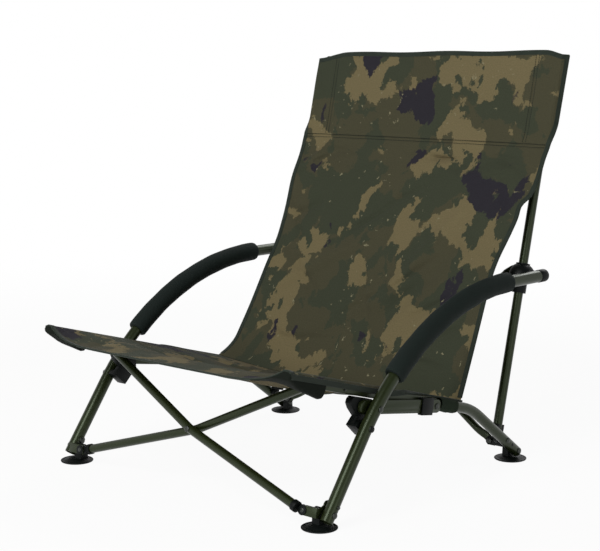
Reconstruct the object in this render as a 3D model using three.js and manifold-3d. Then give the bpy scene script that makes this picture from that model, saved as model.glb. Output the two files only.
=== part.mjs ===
// Low folding carp fishing chair. Millimetres, +X to the sitter's left, +Y to the back, +Z up.
// The side frames fold like an umbrella: a brace cross in front, another behind, and a link on each
// side tie the two arm-and-leg tubes, the two seat rails with their rear legs and the two back poles.

import * as THREE from 'three';
import { mergeVertices } from 'three/addons/utils/BufferGeometryUtils.js';
import Module from 'manifold-3d';

// Clearances
const gap = 0.3;
const pinClearance = 0.3;
const overrun = 2;

// Steel tubes and bars
const armTubeRadius = 11;
const armTubeWall = 1.5;
const rearTubeRadius = 9.5;
const rearTubeWall = 1.5;
const poleRadius = 8.5;
const poleWall = 1.2;
const frontBraceRadius = 7.75;
const backBraceRadius = 7;
const braceWall = 1.2;
const railHeight = 19;
const railTop = 8.5;
const railThickness = 10.7;
const railWall = 1.4;
const linkThickness = 8.2;
const linkHeight = 23;
const railOffset = 290.85;

// Arm and leg tube, in the side plane
const legEndHeight = 13.2;
const legEndReach = 2.35;
const legAngle = THREE.MathUtils.degToRad(54.2);
const legStraight = 150.8;
const armBendRadius = 500;
const armStraight = 92;
const armBendSteps = 12;
const foamStartStep = 3;
const foamShortOfStraight = 2.5;
const foamRadius = 18;
const armCapLength = 24;
const armCapPlug = 14;

// Seat rail and rear leg, in the side plane
const railFrontReach = 66;
const railFrontHeight = 255;
const railAngle = THREE.MathUtils.degToRad(-15.65);
const rearLegAngle = THREE.MathUtils.degToRad(-36.2);
const linkAlong = 381;
const railBeyondLink = 20;
const cornerBeyondRail = 96.3;
const spigotLength = 40;
const ferruleLength = 3;
const rearBendRadius = 150;
const rearBendSteps = 5;
const rearLegEndHeight = 14;

// Feet
const footRadius = 30;
const footRim = 3;
const footHeight = 6;
const footCrownRadius = 17;
const footInboard = 16;
const earThickness = 9.9;
const frontEarRadius = 7.7;
const rearEarRadius = 7.5;
const rearEarThickness = 13.2;
const footPinRadius = 2.6;
const frontFootPinUp = 14.3;
const rearFootPinUp = 8;

// Rivets and pins
const pinRadius = 3;
const headRadius = 5.5;
const headHeight = 2;

// Front clevis and brace cross
const clevisUp = 28.1;
const clevisReach = 22;
const clevisDrop = 9;
const clevisPlate = 2.5;
const clevisLugRadius = 8;
const clevisArmHalf = 4.3;
const tongueThickness = 5;
const tongueHalf = 7;
const hubInboard = 41;
const frontCrossHeight = 109;
const braceGap = 0.6;
const braceSocketReach = 9;
const socketFloor = 3;
const socketDepth = 6;
const socketWall = 1.75;
const braceTipEnd = 236;
const braceAimAlong = 110;
const braceAimOffset = 252;
const braceTipRadius = 6;
const braceTipDrop = 1.6;
const braceBendRadius = 90;
const braceBendSteps = 3;

// Under-seat bracket and link
const bracketUp = 167;
const bracketHeight = 67;
const bracketDepth = 53;
const bracketInboard = 22;
const linkUp = 204;
const linkDrop = 5;
const clipLead = 30;
const clipLength = 30;
const clipHeight = 30;
const clipWall = 3;
const clipLap = 7;

// Pole, socket and slider
const socketUp = 53;
const poleLength = 714;
const poleStart = 12;
const socketRadius = 13;
const socketStart = 8;
const socketLength = 18;
const socketLugThickness = 8;
const sliderBeyondArm = 6;
const sliderPinReach = 17;
const sliderUp = 20;
const sliderDown = 35;
const sliderRadius = 13;
const domeRadius = 26;
const domeDrop = 5;
const domeSkirt = 7;
const domeSteps = 5;
const bossHalfLength = 9;

// Rear clevis and back brace cross
const rearClevisUp = 34.4;
const backTipRise = 7.2;
const backEyeRadius = 7.5;
const tabLap = 16;

// Slings
const slingHalfWidth = 291;
const slingThickness = 3.5;
const seatFrontAlong = -2;
const seatShortOfCorner = 31.3;
const seatSteps = 12;
const slingSteps = 14;
const seatSagFront = 29;
const seatSagBrace = 15;
const seatSagMiddle = 36;
const seatSagRear = 12;
const pocketDepth = 78;
const pocketReach = 4;
const pocketSide = 2.5;
const pocketRise = 12;
const pocketDrop = 24;
const backSag = 14;
const backSteps = 16;
const sleeveWall = 2.2;
const sleeveBottomDown = 180;
const sleeveTopUp = 4;
const seamGap = 1.2;

// Tessellation
const tubeSides = 12;
const boreSides = 8;
const pinSides = 8;
const roundSides = 20;
const arcSides = 5;

const wasm = await Module();
wasm.setup();

// Makes a solid from closed geometry.
function solidFrom(geometry) {
  const bare = geometry.clone();
  bare.deleteAttribute('normal');
  bare.deleteAttribute('uv');
  const welded = mergeVertices(bare);
  return new wasm.Manifold(new wasm.Mesh({
    numProp: 3,
    vertProperties: new Float32Array(welded.attributes.position.array),
    triVerts: new Uint32Array(welded.index.array)
  }));
}

// Turns a solid back into geometry, mirrored to the other side of the chair if asked.
function geometryFrom(solid, mirrored) {
  const mesh = solid.getMesh();
  const positions = Float32Array.from(mesh.vertProperties);
  const faces = Uint32Array.from(mesh.triVerts);
  if (mirrored) {
    for (let i = 0; i < positions.length; i += 3) {
      positions[i] = -positions[i];
    }
    faces.reverse();
  }
  const geometry = new THREE.BufferGeometry();
  geometry.setAttribute('position', new THREE.BufferAttribute(positions, 3));
  geometry.setIndex(new THREE.BufferAttribute(faces, 1));
  geometry.computeVertexNormals();
  return geometry;
}

function joined(...solids) {
  return solids.reduce((whole, next) => whole.add(next));
}

function cut(solid, ...tools) {
  return tools.reduce((rest, tool) => rest.subtract(tool), solid);
}

// Points and directions of the side plane are Vector2 (y, z).
function flat(y, z) {
  return new THREE.Vector2(y, z);
}

function heading(angle) {
  return flat(Math.cos(angle), Math.sin(angle));
}

function moved(point, direction, distance) {
  return point.clone().addScaledVector(direction, distance);
}

function lifted(direction) {
  return flat(-direction.y, direction.x);
}

function inSpace(x, point) {
  return new THREE.Vector3(x, point.x, point.y);
}

// A straight round bar between two points.
function rod(start, end, radius, sides = pinSides) {
  const axis = end.clone().sub(start);
  const bar = new THREE.CylinderGeometry(radius, radius, axis.length(), sides);
  const turn = new THREE.Quaternion().setFromUnitVectors(
    new THREE.Vector3(0, 1, 0), axis.clone().normalize());
  bar.applyQuaternion(turn);
  const middle = start.clone().add(end).multiplyScalar(0.5);
  bar.translate(middle.x, middle.y, middle.z);
  return solidFrom(bar);
}

// A round bar across the chair, at a point of the side plane.
function crossRod(point, radius, from, to, sides = pinSides) {
  return rod(inSpace(from, point), inSpace(to, point), radius, sides);
}

// A rivet with a head at each end of its grip.
function rivet(start, end, radius = pinRadius) {
  const along = end.clone().sub(start).normalize();
  const headStart = start.clone().addScaledVector(along, -headHeight);
  const headEnd = end.clone().addScaledVector(along, headHeight);
  return joined(
    rod(headStart, headEnd, radius),
    rod(headStart, start, headRadius),
    rod(end, headEnd, headRadius)
  );
}

// Flat plates: a shape pushed from one depth to another in its own frame.
function plate(shape, from, to, basis) {
  const slab = new THREE.ExtrudeGeometry(shape, {
    depth: to - from,
    bevelEnabled: false,
    curveSegments: arcSides
  });
  slab.translate(0, 0, from);
  slab.applyMatrix4(basis);
  return solidFrom(slab);
}

const sideBasis = new THREE.Matrix4().makeBasis(
  new THREE.Vector3(0, 1, 0), new THREE.Vector3(0, 0, 1), new THREE.Vector3(1, 0, 0));

// A slot shape round two points.
function slotShape(start, end, radius) {
  const angle = Math.atan2(end.y - start.y, end.x - start.x);
  const shape = new THREE.Shape();
  shape.absarc(end.x, end.y, radius, angle - Math.PI / 2, angle + Math.PI / 2);
  shape.absarc(start.x, start.y, radius, angle + Math.PI / 2, angle + Math.PI * 1.5);
  return shape;
}

function boxShape(left, right, bottom, top) {
  return new THREE.Shape([flat(left, bottom), flat(right, bottom), flat(right, top), flat(left, top)]);
}

function discShape(centre, radius) {
  const shape = new THREE.Shape();
  shape.absarc(centre.x, centre.y, radius, 0, Math.PI * 2);
  return shape;
}

// A path that is sampled only at its own stations, with mitred turns.
class StationCurve extends THREE.Curve {
  constructor(stations) {
    super();
    this.stations = stations;
  }

  index(share) {
    return Math.round(share * (this.stations.length - 1));
  }

  getPoint(share) {
    return this.stations[this.index(share)].clone();
  }

  getPointAt(share) {
    return this.getPoint(share);
  }

  getTangent(share) {
    const i = this.index(share);
    const last = this.stations.length - 1;
    const here = this.stations[i];
    const before = i > 0 ? here.clone().sub(this.stations[i - 1]).normalize() : new THREE.Vector3();
    const after = i < last ? this.stations[i + 1].clone().sub(here).normalize() : new THREE.Vector3();
    return before.add(after).normalize();
  }

  getTangentAt(share) {
    return this.getTangent(share);
  }
}

function ring(radius, sides) {
  const points = [];
  for (let i = 0; i < sides; i += 1) {
    const angle = (i + 0.5) / sides * Math.PI * 2;
    points.push(flat(radius * Math.cos(angle), radius * Math.sin(angle)));
  }
  return points;
}

// An open-ended tube along stations. The bore is drawn round its circle, so it never comes out tight.
function tube(stations, outer, inner) {
  const section = new THREE.Shape(ring(outer, tubeSides));
  if (inner > 0) {
    section.holes.push(new THREE.Path(ring(inner / Math.cos(Math.PI / boreSides), boreSides)));
  }
  return solidFrom(new THREE.ExtrudeGeometry(section, {
    steps: stations.length - 1,
    extrudePath: new StationCurve(stations),
    bevelEnabled: false
  }));
}

// A closed sheet with a face and a reverse, from two functions of the shares across and along.
function sheet(across, along, face, reverse) {
  const positions = [];
  const faces = [];
  const row = across + 1;
  const layer = row * (along + 1);
  for (const surface of [face, reverse]) {
    for (let j = 0; j <= along; j += 1) {
      for (let i = 0; i <= across; i += 1) {
        positions.push(...surface(i / across, j / along).toArray());
      }
    }
  }
  const quad = (a, b, c, d) => faces.push(a, b, c, a, c, d);
  for (let j = 0; j < along; j += 1) {
    for (let i = 0; i < across; i += 1) {
      const a = j * row + i;
      quad(a, a + 1, a + 1 + row, a + row);
      quad(layer + a, layer + a + row, layer + a + row + 1, layer + a + 1);
    }
  }
  for (let i = 0; i < across; i += 1) {
    const top = along * row + i;
    quad(i, layer + i, layer + i + 1, i + 1);
    quad(top, top + 1, layer + top + 1, layer + top);
  }
  for (let j = 0; j < along; j += 1) {
    const left = j * row;
    const right = left + across;
    quad(left, left + row, layer + left + row, layer + left);
    quad(right, layer + right, layer + right + row, right + row);
  }
  const geometry = new THREE.BufferGeometry();
  geometry.setAttribute('position', new THREE.Float32BufferAttribute(positions, 3));
  geometry.setIndex(faces);
  return solidFrom(geometry);
}

// Layers across the chair, from the seat rail outwards and inwards
const railInner = railOffset - railThickness / 2;
const railOuter = railOffset + railThickness / 2;
const linkInner = railOuter + gap;
const linkOuter = linkInner + linkThickness;
const armInner = linkOuter + gap;
const armCentre = armInner + armTubeRadius;
const armOuter = armInner + 2 * armTubeRadius;
const rearCentre = railInner + rearTubeRadius;
const rearOuter = railInner + 2 * rearTubeRadius;
const poleOuter = railInner - gap;
const poleCentre = poleOuter - poleRadius;
const sleeveInner = poleCentre - Math.max(sliderRadius, socketRadius);
const frontHub = armCentre - hubInboard;
const backHub = sleeveInner - gap - backEyeRadius;
const webOuter = armInner - gap;
const webInner = webOuter - clevisPlate;
const earOuter = webInner - gap;
const footCentre = armCentre - footInboard;

// Arm and leg tube: points at a length along its centre line
const legDirection = heading(legAngle);
const legEnd = flat(-legEndReach, legEndHeight);
const armBendStart = moved(legEnd, legDirection, legStraight);
const armBendCentre = moved(armBendStart, lifted(legDirection), -armBendRadius);
const armBendLength = armBendRadius * legAngle;
const armLength = legStraight + armBendLength + armStraight;

function armPoint(length) {
  if (length <= legStraight) {
    return moved(legEnd, legDirection, length);
  }
  const turned = Math.min((length - legStraight) / armBendRadius, legAngle);
  const angle = legAngle - turned;
  const onBend = moved(armBendCentre, lifted(heading(angle)), armBendRadius);
  return moved(onBend, heading(angle), Math.max(length - legStraight - armBendLength, 0));
}

function armStations(from, to) {
  const lengths = [from];
  for (let step = 0; step <= armBendSteps; step += 1) {
    const length = legStraight + armBendLength * step / armBendSteps;
    if (length > from && length < to) {
      lengths.push(length);
    }
  }
  lengths.push(to);
  return lengths.map((length) => inSpace(armCentre, armPoint(length)));
}

// Seat rail and rear leg: one line with a bend
const flatRailLength = linkAlong + railBeyondLink;
const railToCorner = flatRailLength + cornerBeyondRail;
const seatRearAlong = railToCorner - seatShortOfCorner;
const railDirection = heading(railAngle);
const railUp = lifted(railDirection);
const railFront = flat(-railFrontReach, railFrontHeight);
const rearDirection = heading(rearLegAngle);
const rearCorner = moved(railFront, railDirection, railToCorner);
const rearLegLength = (rearCorner.y - rearLegEndHeight) / -rearDirection.y;
const rearLegEnd = moved(rearCorner, rearDirection, rearLegLength);
const bendTangent = rearBendRadius * Math.tan((railAngle - rearLegAngle) / 2);

function railPoint(along, up = 0) {
  return moved(moved(railFront, railDirection, along), railUp, up);
}

function rearLegPoint(up) {
  return moved(rearLegEnd, rearDirection, -up);
}

// Pivots in the side plane
const frontFootPivot = armPoint(frontFootPinUp);
const clevisPivot = armPoint(clevisUp);
const frontHubPivot = flat(clevisPivot.x - clevisReach, clevisPivot.y - clevisDrop);
const bracketPivot = armPoint(bracketUp);
const linkPivot = armPoint(linkUp);
const sliderPivot = armPoint(armLength + sliderBeyondArm);
const linkRailPivot = railPoint(linkAlong, -linkDrop);
const rearFootPivot = rearLegPoint(rearFootPinUp);
const rearClevisPivot = rearLegPoint(rearClevisUp);
const socketPivot = rearLegPoint(socketUp);
const poleDirection = sliderPivot.clone().sub(socketPivot).normalize();
const backTip = moved(sliderPivot, poleDirection, backTipRise);
const frontTip = railPoint(braceAimAlong, -braceTipDrop);
const frontAim = railPoint(braceAimAlong);

// The planes of the two brace crosses. Local x is across the chair, y up the plane and z to the front.
function crossPlane(hub, tip, crossing) {
  const up = tip.clone().sub(hub).normalize();
  const across = new THREE.Vector3(1, 0, 0);
  const rise = inSpace(0, up);
  const front = across.clone().cross(rise);
  const origin = inSpace(0, moved(hub, up, crossing));
  const basis = new THREE.Matrix4().makeBasis(across, rise, front).setPosition(origin);
  return { basis, hubDown: -crossing, tipUp: tip.distanceTo(hub) - crossing };
}

function onPlane(plane, x, up, front) {
  return new THREE.Vector3(x, up, front).applyMatrix4(plane.basis);
}

const frontRise = frontAim.clone().sub(frontHubPivot).normalize();
const frontPlane = crossPlane(frontHubPivot, frontAim, (frontCrossHeight - frontHubPivot.y) / frontRise.y);
const backPlane = crossPlane(rearClevisPivot, backTip, rearClevisPivot.distanceTo(backTip) / 2);
const frontLayer = frontBraceRadius + braceGap / 2;
const backLayer = backBraceRadius + braceGap / 2;
const cheekInner = tongueThickness / 2 + gap;
const cheekOuter = cheekInner + clevisPlate;

// Arm and leg tube, bored for its pins
function armLegTube() {
  const holes = [
    [frontFootPivot, footPinRadius],
    [clevisPivot, pinRadius],
    [bracketPivot, pinRadius],
    [linkPivot, pinRadius]
  ];
  return cut(
    tube(armStations(0, armLength), armTubeRadius, armTubeRadius - armTubeWall),
    ...holes.map(([point, radius]) => crossRod(
      point, radius + pinClearance, armInner - overrun, armOuter + overrun))
  );
}

function foamGrip() {
  const start = legStraight + armBendLength * foamStartStep / armBendSteps;
  const end = legStraight + armBendLength - foamShortOfStraight;
  return tube(armStations(start, end), foamRadius, armTubeRadius + gap);
}

function armEndCap() {
  const end = armPoint(armLength);
  const plugRadius = armTubeRadius - armTubeWall - gap;
  return cut(
    joined(
      rod(inSpace(armCentre, moved(end, flat(1, 0), gap)),
        inSpace(armCentre, moved(end, flat(1, 0), gap + armCapLength)), armTubeRadius, tubeSides),
      rod(inSpace(armCentre, moved(end, flat(1, 0), -armCapPlug)),
        inSpace(armCentre, moved(end, flat(1, 0), armCapLength)), plugRadius, tubeSides)
    ),
    crossRod(sliderPivot, pinRadius + pinClearance, armInner - overrun, armInner + sliderPinReach)
  );
}

// Tilting foot: a round dish with one ear for its pin
function foot(pivot, earRadius, earFrom, earTo, centre) {
  const profile = [
    flat(0, 0),
    flat(footRadius, 0),
    flat(footRadius, footRim),
    flat(footCrownRadius, footHeight),
    flat(0, footHeight)
  ];
  const dish = new THREE.LatheGeometry(profile, roundSides);
  dish.rotateX(Math.PI / 2);
  dish.translate(centre, 0, 0);
  const ear = new THREE.Shape();
  ear.moveTo(pivot.x - earRadius, footHeight / 2);
  ear.lineTo(pivot.x + earRadius, footHeight / 2);
  ear.absarc(pivot.x, pivot.y, earRadius, 0, Math.PI);
  const hole = crossRod(pivot, footPinRadius + pinClearance, earFrom - overrun, earTo + overrun);
  return { dish, ear, hole, earFrom, earTo };
}

function frontFoot() {
  const parts = foot(frontFootPivot, frontEarRadius, earOuter - earThickness, earOuter, footCentre);
  return cut(joined(solidFrom(parts.dish), plate(parts.ear, parts.earFrom, parts.earTo, sideBasis)), parts.hole);
}

function rearFoot() {
  const earTo = poleOuter;
  const parts = foot(rearFootPivot, rearEarRadius, earTo - rearEarThickness, earTo, earTo);
  parts.dish.translate(0, rearFootPivot.x, 0);
  return cut(joined(solidFrom(parts.dish), plate(parts.ear, parts.earFrom, parts.earTo, sideBasis)), parts.hole);
}

function frontFootPin() {
  return rivet(inSpace(earOuter - earThickness - gap, frontFootPivot),
    inSpace(armOuter + gap, frontFootPivot), footPinRadius);
}

function rearFootPin() {
  return rivet(inSpace(poleOuter - rearEarThickness - gap, rearFootPivot),
    inSpace(rearOuter + gap, rearFootPivot), footPinRadius);
}

// Cheeks of a clevis: two plates with round ends, one on each side of the tongue
function cheeks(plane, hub, lugRadius, reach) {
  const outline = slotShape(flat(hub, plane.hubDown), flat(reach - lugRadius, plane.hubDown), lugRadius);
  const root = boxShape(reach - 2 * lugRadius, reach, plane.hubDown - lugRadius, plane.hubDown + lugRadius);
  const pieces = [];
  for (const [from, to] of [[-cheekOuter, -cheekInner], [cheekInner, cheekOuter]]) {
    pieces.push(plate(outline, from, to, plane.basis), plate(root, from, to, plane.basis));
  }
  return joined(...pieces);
}

function hubHole(plane, hub) {
  return rod(onPlane(plane, hub, plane.hubDown, -cheekOuter - overrun),
    onPlane(plane, hub, plane.hubDown, cheekOuter + overrun), pinRadius + pinClearance);
}

function frontClevis() {
  const web = joined(
    plate(slotShape(clevisPivot, frontHubPivot, clevisArmHalf), webInner, webOuter, sideBasis),
    plate(discShape(clevisPivot, clevisLugRadius), webInner, webOuter, sideBasis)
  );
  const base = new THREE.ExtrudeGeometry(
    boxShape(webInner, webOuter, frontPlane.hubDown - clevisLugRadius, frontPlane.hubDown + clevisLugRadius),
    { depth: 2 * cheekOuter, bevelEnabled: false });
  base.translate(0, 0, -cheekOuter);
  base.applyMatrix4(frontPlane.basis);
  return cut(
    joined(web, solidFrom(base), cheeks(frontPlane, frontHub, clevisLugRadius, webOuter)),
    hubHole(frontPlane, frontHub),
    crossRod(clevisPivot, pinRadius + pinClearance, webInner - overrun, webOuter + overrun)
  );
}

function frontClevisRivet() {
  return rivet(inSpace(webInner - gap, clevisPivot), inSpace(armOuter + gap, clevisPivot));
}

function cheekPin(plane, hub) {
  return rivet(onPlane(plane, hub, plane.hubDown, -cheekOuter - gap),
    onPlane(plane, hub, plane.hubDown, cheekOuter + gap));
}

function frontBracePin() {
  return cheekPin(frontPlane, frontHub);
}

// Front brace: bent at the crossing. Its layer is in front of the crossing plane on the left.
const braceLow = flat(frontHub, frontPlane.hubDown);
const braceAim = flat(-braceAimOffset, frontPlane.tipUp);
const braceLowDirection = braceLow.clone().negate().normalize();
const braceHighDirection = braceAim.clone().normalize();
const braceBend = braceLowDirection.angleTo(braceHighDirection);
const braceStart = braceSocketReach + socketFloor + gap;
const braceHighEnd = braceTipEnd / Math.abs(braceHighDirection.x);
const braceTip = flat(-(poleOuter - braceTipRadius), frontTip.distanceTo(frontHubPivot) + frontPlane.hubDown);

function frontBraceStations(layer) {
  const turn = Math.atan2(braceLowDirection.y, braceLowDirection.x);
  const tangent = braceBendRadius * Math.tan(braceBend / 2);
  const start = moved(braceLow, braceLowDirection, braceStart);
  const points = [start];
  const centre = moved(moved(flat(0, 0), braceLowDirection, -tangent), lifted(braceLowDirection), -braceBendRadius);
  for (let step = 0; step <= braceBendSteps; step += 1) {
    const angle = turn - braceBend * step / braceBendSteps;
    points.push(moved(centre, lifted(heading(angle)), braceBendRadius));
  }
  points.push(moved(flat(0, 0), braceHighDirection, braceHighEnd));
  return points.map((point) => onPlane(frontPlane, point.x, point.y, layer));
}

function crossHole(plane, radius) {
  const reach = 2 * frontLayer + overrun;
  return rod(onPlane(plane, 0, 0, -reach), onPlane(plane, 0, 0, reach), radius);
}

function frontBraceTube(layer) {
  return cut(
    tube(frontBraceStations(layer), frontBraceRadius, frontBraceRadius - braceWall),
    crossHole(frontPlane, pinRadius + pinClearance)
  );
}

// A cup on the end of a brace, on the brace's layer, with a flat tongue on the crossing plane
function braceFitting(layer, tongueFrom, tongueRadius, cupStart, direction) {
  const outer = frontBraceRadius + gap + socketWall;
  const at = (distance) => {
    const point = moved(cupStart, direction, distance);
    return onPlane(frontPlane, point.x, point.y, layer);
  };
  const cup = cut(
    rod(at(0), at(socketFloor + socketDepth), outer, tubeSides),
    rod(at(socketFloor), at(socketFloor + socketDepth + overrun),
      (frontBraceRadius + gap) / Math.cos(Math.PI / tubeSides), tubeSides)
  );
  const root = moved(cupStart, direction, socketFloor - tongueRadius);
  const blade = plate(slotShape(tongueFrom, root, tongueRadius), -tongueThickness / 2,
    tongueThickness / 2, frontPlane.basis);
  const trim = rod(at(socketFloor), at(socketFloor + socketDepth + overrun),
    (frontBraceRadius + gap) / Math.cos(Math.PI / tubeSides), tubeSides);
  return cut(joined(cup, blade), trim);
}

function frontBraceSocket(layer) {
  const cupStart = moved(braceLow, braceLowDirection, braceSocketReach);
  return cut(
    braceFitting(layer, braceLow, tongueHalf, cupStart, braceLowDirection),
    hubHole(frontPlane, frontHub)
  );
}

function frontBraceTip(layer) {
  const back = braceHighDirection.clone().negate();
  const cupStart = moved(flat(0, 0), braceHighDirection, braceHighEnd + gap + socketFloor);
  return cut(
    braceFitting(layer, braceTip, braceTipRadius, cupStart, back),
    rod(onPlane(frontPlane, braceTip.x, braceTip.y, -tongueThickness),
      onPlane(frontPlane, braceTip.x, braceTip.y, tongueThickness), footPinRadius)
  );
}

function frontCrossRivet() {
  const reach = 2 * frontLayer - braceGap / 2 + gap;
  return rivet(onPlane(frontPlane, 0, 0, -reach), onPlane(frontPlane, 0, 0, reach));
}

// Stop bracket under the seat: a two-lobed block on the inner face of the leg
const bracketShares = [
  [-0.1, 0.75], [-0.22, 0.7], [-0.275, 0.6], [-0.19, 0.45], [0.03, 0.239], [-0.238, 0.045],
  [0.196, -0.269], [0.725, 0.134], [0.725, 0.575]
];
const bracketLowShares = [[-0.1, 0.134], [-0.238, 0.045], [0.196, -0.269], [0.725, 0.134]];

function bracketOutline(shares) {
  return new THREE.Shape(shares.map(([back, up]) => flat(
    bracketPivot.x + back * bracketDepth, bracketPivot.y + up * bracketHeight)).reverse());
}

function underSeatBracket() {
  const inner = armInner - bracketInboard;
  const rivetGrip = crossRod(bracketPivot, pinRadius, railOuter - headRadius, armOuter + gap + headHeight);
  const head = crossRod(bracketPivot, headRadius, armOuter + gap, armOuter + gap + headHeight);
  return joined(
    plate(bracketOutline(bracketShares), inner, railOuter, sideBasis),
    plate(bracketOutline(bracketLowShares), railOuter - overrun, armInner - gap, sideBasis),
    rivetGrip,
    head
  );
}

// Link from the arm tube to the seat rail
const linkDirection = linkRailPivot.clone().sub(linkPivot).normalize();
const linkLead = linkHeight / 2;

function linkBar() {
  const front = moved(linkPivot, linkDirection, -linkLead);
  const hole = (point) => crossRod(point, pinRadius + pinClearance, linkInner - overrun, linkOuter + overrun);
  return cut(
    plate(slotShape(front, linkRailPivot, linkHeight / 2), linkInner, linkOuter, sideBasis),
    hole(linkPivot),
    hole(linkRailPivot)
  );
}

function linkBolt() {
  const head = armOuter + gap;
  return joined(
    crossRod(linkPivot, pinRadius, linkInner, head + headHeight),
    crossRod(linkPivot, headRadius, head, head + headHeight)
  );
}

function linkClip() {
  const basis = new THREE.Matrix4().makeBasis(
    inSpace(0, linkDirection), inSpace(0, lifted(linkDirection)), new THREE.Vector3(1, 0, 0));
  basis.setPosition(inSpace(0, moved(linkRailPivot, linkDirection, -clipLead)));
  const half = clipHeight / 2;
  const seat = linkHeight / 2 + gap;
  const end = clipLength / 2;
  const face = linkOuter + gap;
  const back = face - clipLap;
  return joined(
    plate(boxShape(-end, end, -half, half), face, face + clipWall, basis),
    plate(boxShape(-end, end, seat, half), back, face + clipWall, basis),
    plate(boxShape(-end, end, -half, -seat), back, face + clipWall, basis)
  );
}

function linkRivet() {
  const start = railInner - gap;
  return joined(
    crossRod(linkRailPivot, pinRadius, start - headHeight, linkOuter),
    crossRod(linkRailPivot, headRadius, start - headHeight, start)
  );
}

// Seat rail: a flat tube with a ferrule and a spigot at its rear end
function seatRail() {
  const basis = new THREE.Matrix4().makeBasis(
    new THREE.Vector3(1, 0, 0), inSpace(0, railUp), inSpace(0, railDirection).negate());
  basis.setPosition(inSpace(railOffset, railFront));
  const section = boxShape(-railThickness / 2, railThickness / 2, railTop - railHeight, railTop);
  const hollow = boxShape(-railThickness / 2 + railWall, railThickness / 2 - railWall,
    railTop - railHeight + railWall, railTop - railWall);
  const ferruleStart = flatRailLength - ferruleLength;
  const spigotRadius = rearTubeRadius - rearTubeWall - gap;
  return cut(
    joined(
      cut(plate(section, -flatRailLength, 0, basis), plate(hollow, -ferruleStart, overrun, basis)),
      rod(inSpace(rearCentre, railPoint(ferruleStart)), inSpace(rearCentre, railPoint(flatRailLength)),
        rearTubeRadius - gap, tubeSides),
      rod(inSpace(rearCentre, railPoint(ferruleStart)),
        inSpace(rearCentre, railPoint(flatRailLength + spigotLength)), spigotRadius, tubeSides)
    ),
    crossRod(linkRailPivot, pinRadius + pinClearance, railInner - overrun, railOuter + overrun)
  );
}

function rearLegTube() {
  const stations = [railPoint(flatRailLength + gap)];
  const centre = moved(railPoint(railToCorner - bendTangent), railUp, -rearBendRadius);
  for (let step = 0; step <= rearBendSteps; step += 1) {
    const angle = railAngle + (rearLegAngle - railAngle) * step / rearBendSteps;
    stations.push(moved(centre, lifted(heading(angle)), rearBendRadius));
  }
  stations.push(rearLegEnd);
  const hole = (point, radius) => crossRod(point, radius + pinClearance, railInner - overrun, rearOuter + overrun);
  return cut(
    tube(stations.map((point) => inSpace(rearCentre, point)), rearTubeRadius, rearTubeRadius - rearTubeWall),
    hole(rearFootPivot, footPinRadius),
    hole(rearClevisPivot, pinRadius),
    hole(socketPivot, pinRadius)
  );
}

// Back pole, its socket and its slider
function polePoint(up) {
  return inSpace(poleCentre, moved(socketPivot, poleDirection, up));
}

function backPole() {
  return tube([polePoint(poleStart), polePoint(poleLength)], poleRadius, poleRadius - poleWall);
}

function poleSocket() {
  const boreStart = poleStart - gap;
  const socketEnd = socketStart + socketLength;
  const body = cut(
    rod(polePoint(socketStart), polePoint(socketEnd), socketRadius, tubeSides),
    rod(polePoint(boreStart), polePoint(socketEnd + overrun),
      (poleRadius + gap) / Math.cos(Math.PI / tubeSides), tubeSides),
    plate(boxShape(socketPivot.x - socketEnd, socketPivot.x + socketEnd,
      socketPivot.y - socketEnd, socketPivot.y + 2 * socketEnd), poleOuter, poleOuter + socketRadius, sideBasis)
  );
  const root = moved(socketPivot, poleDirection, socketStart - clevisLugRadius + socketFloor);
  return cut(
    joined(body, plate(slotShape(socketPivot, root, clevisLugRadius),
      poleOuter - socketLugThickness, poleOuter, sideBasis)),
    crossRod(socketPivot, pinRadius + pinClearance, poleOuter - socketRadius * 2, poleOuter + overrun)
  );
}

function socketPin() {
  return rivet(inSpace(poleOuter - socketLugThickness - gap, socketPivot), inSpace(rearOuter + gap, socketPivot));
}

function armSlider() {
  const outerFace = armInner - gap;
  const centreUp = sliderPivot.distanceTo(socketPivot);
  const bottom = centreUp - sliderDown;
  const top = centreUp + sliderUp;
  const profile = [flat(0, -domeSkirt), flat(domeRadius, -domeSkirt)];
  for (let step = 0; step <= domeSteps; step += 1) {
    const angle = Math.acos(sliderRadius / domeRadius) * step / domeSteps;
    profile.push(heading(angle).multiplyScalar(domeRadius));
  }
  profile.push(flat(0, profile[profile.length - 1].y));
  const dome = new THREE.LatheGeometry(profile, roundSides);
  dome.applyQuaternion(new THREE.Quaternion().setFromUnitVectors(
    new THREE.Vector3(0, 1, 0), inSpace(0, poleDirection)));
  dome.translate(...polePoint(centreUp - domeDrop).toArray());
  const basis = new THREE.Matrix4().makeBasis(
    inSpace(0, poleDirection), inSpace(0, lifted(poleDirection)), new THREE.Vector3(1, 0, 0));
  basis.setPosition(inSpace(0, sliderPivot));
  const room = boxShape(-sliderDown, domeRadius, -domeRadius - overrun, domeRadius + overrun);
  return cut(
    joined(
      cut(solidFrom(dome), plate(room, poleCentre - domeRadius - overrun, sleeveInner, basis)),
      rod(polePoint(bottom), polePoint(top), sliderRadius, tubeSides),
      plate(boxShape(-bossHalfLength, bossHalfLength, -bossHalfLength, bossHalfLength),
        poleCentre, outerFace, basis)
    ),
    rod(polePoint(bottom - overrun), polePoint(top + overrun),
      (poleRadius + gap) / Math.cos(Math.PI / tubeSides), tubeSides)
  );
}

function sliderPin() {
  return crossRod(sliderPivot, pinRadius, armInner, armInner + sliderPinReach - gap);
}

// Rear clevis: a boss on the rear leg with cheeks for the back brace
function rearClevis() {
  return cut(
    joined(
      crossRod(rearClevisPivot, clevisLugRadius, sleeveInner, poleOuter, tubeSides),
      crossRod(rearClevisPivot, pinRadius, poleOuter - overrun, rearOuter),
      cheeks(backPlane, backHub, clevisLugRadius, sleeveInner + clevisPlate * 2)
    ),
    hubHole(backPlane, backHub)
  );
}

function rearBracePin() {
  return cheekPin(backPlane, backHub);
}

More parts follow.
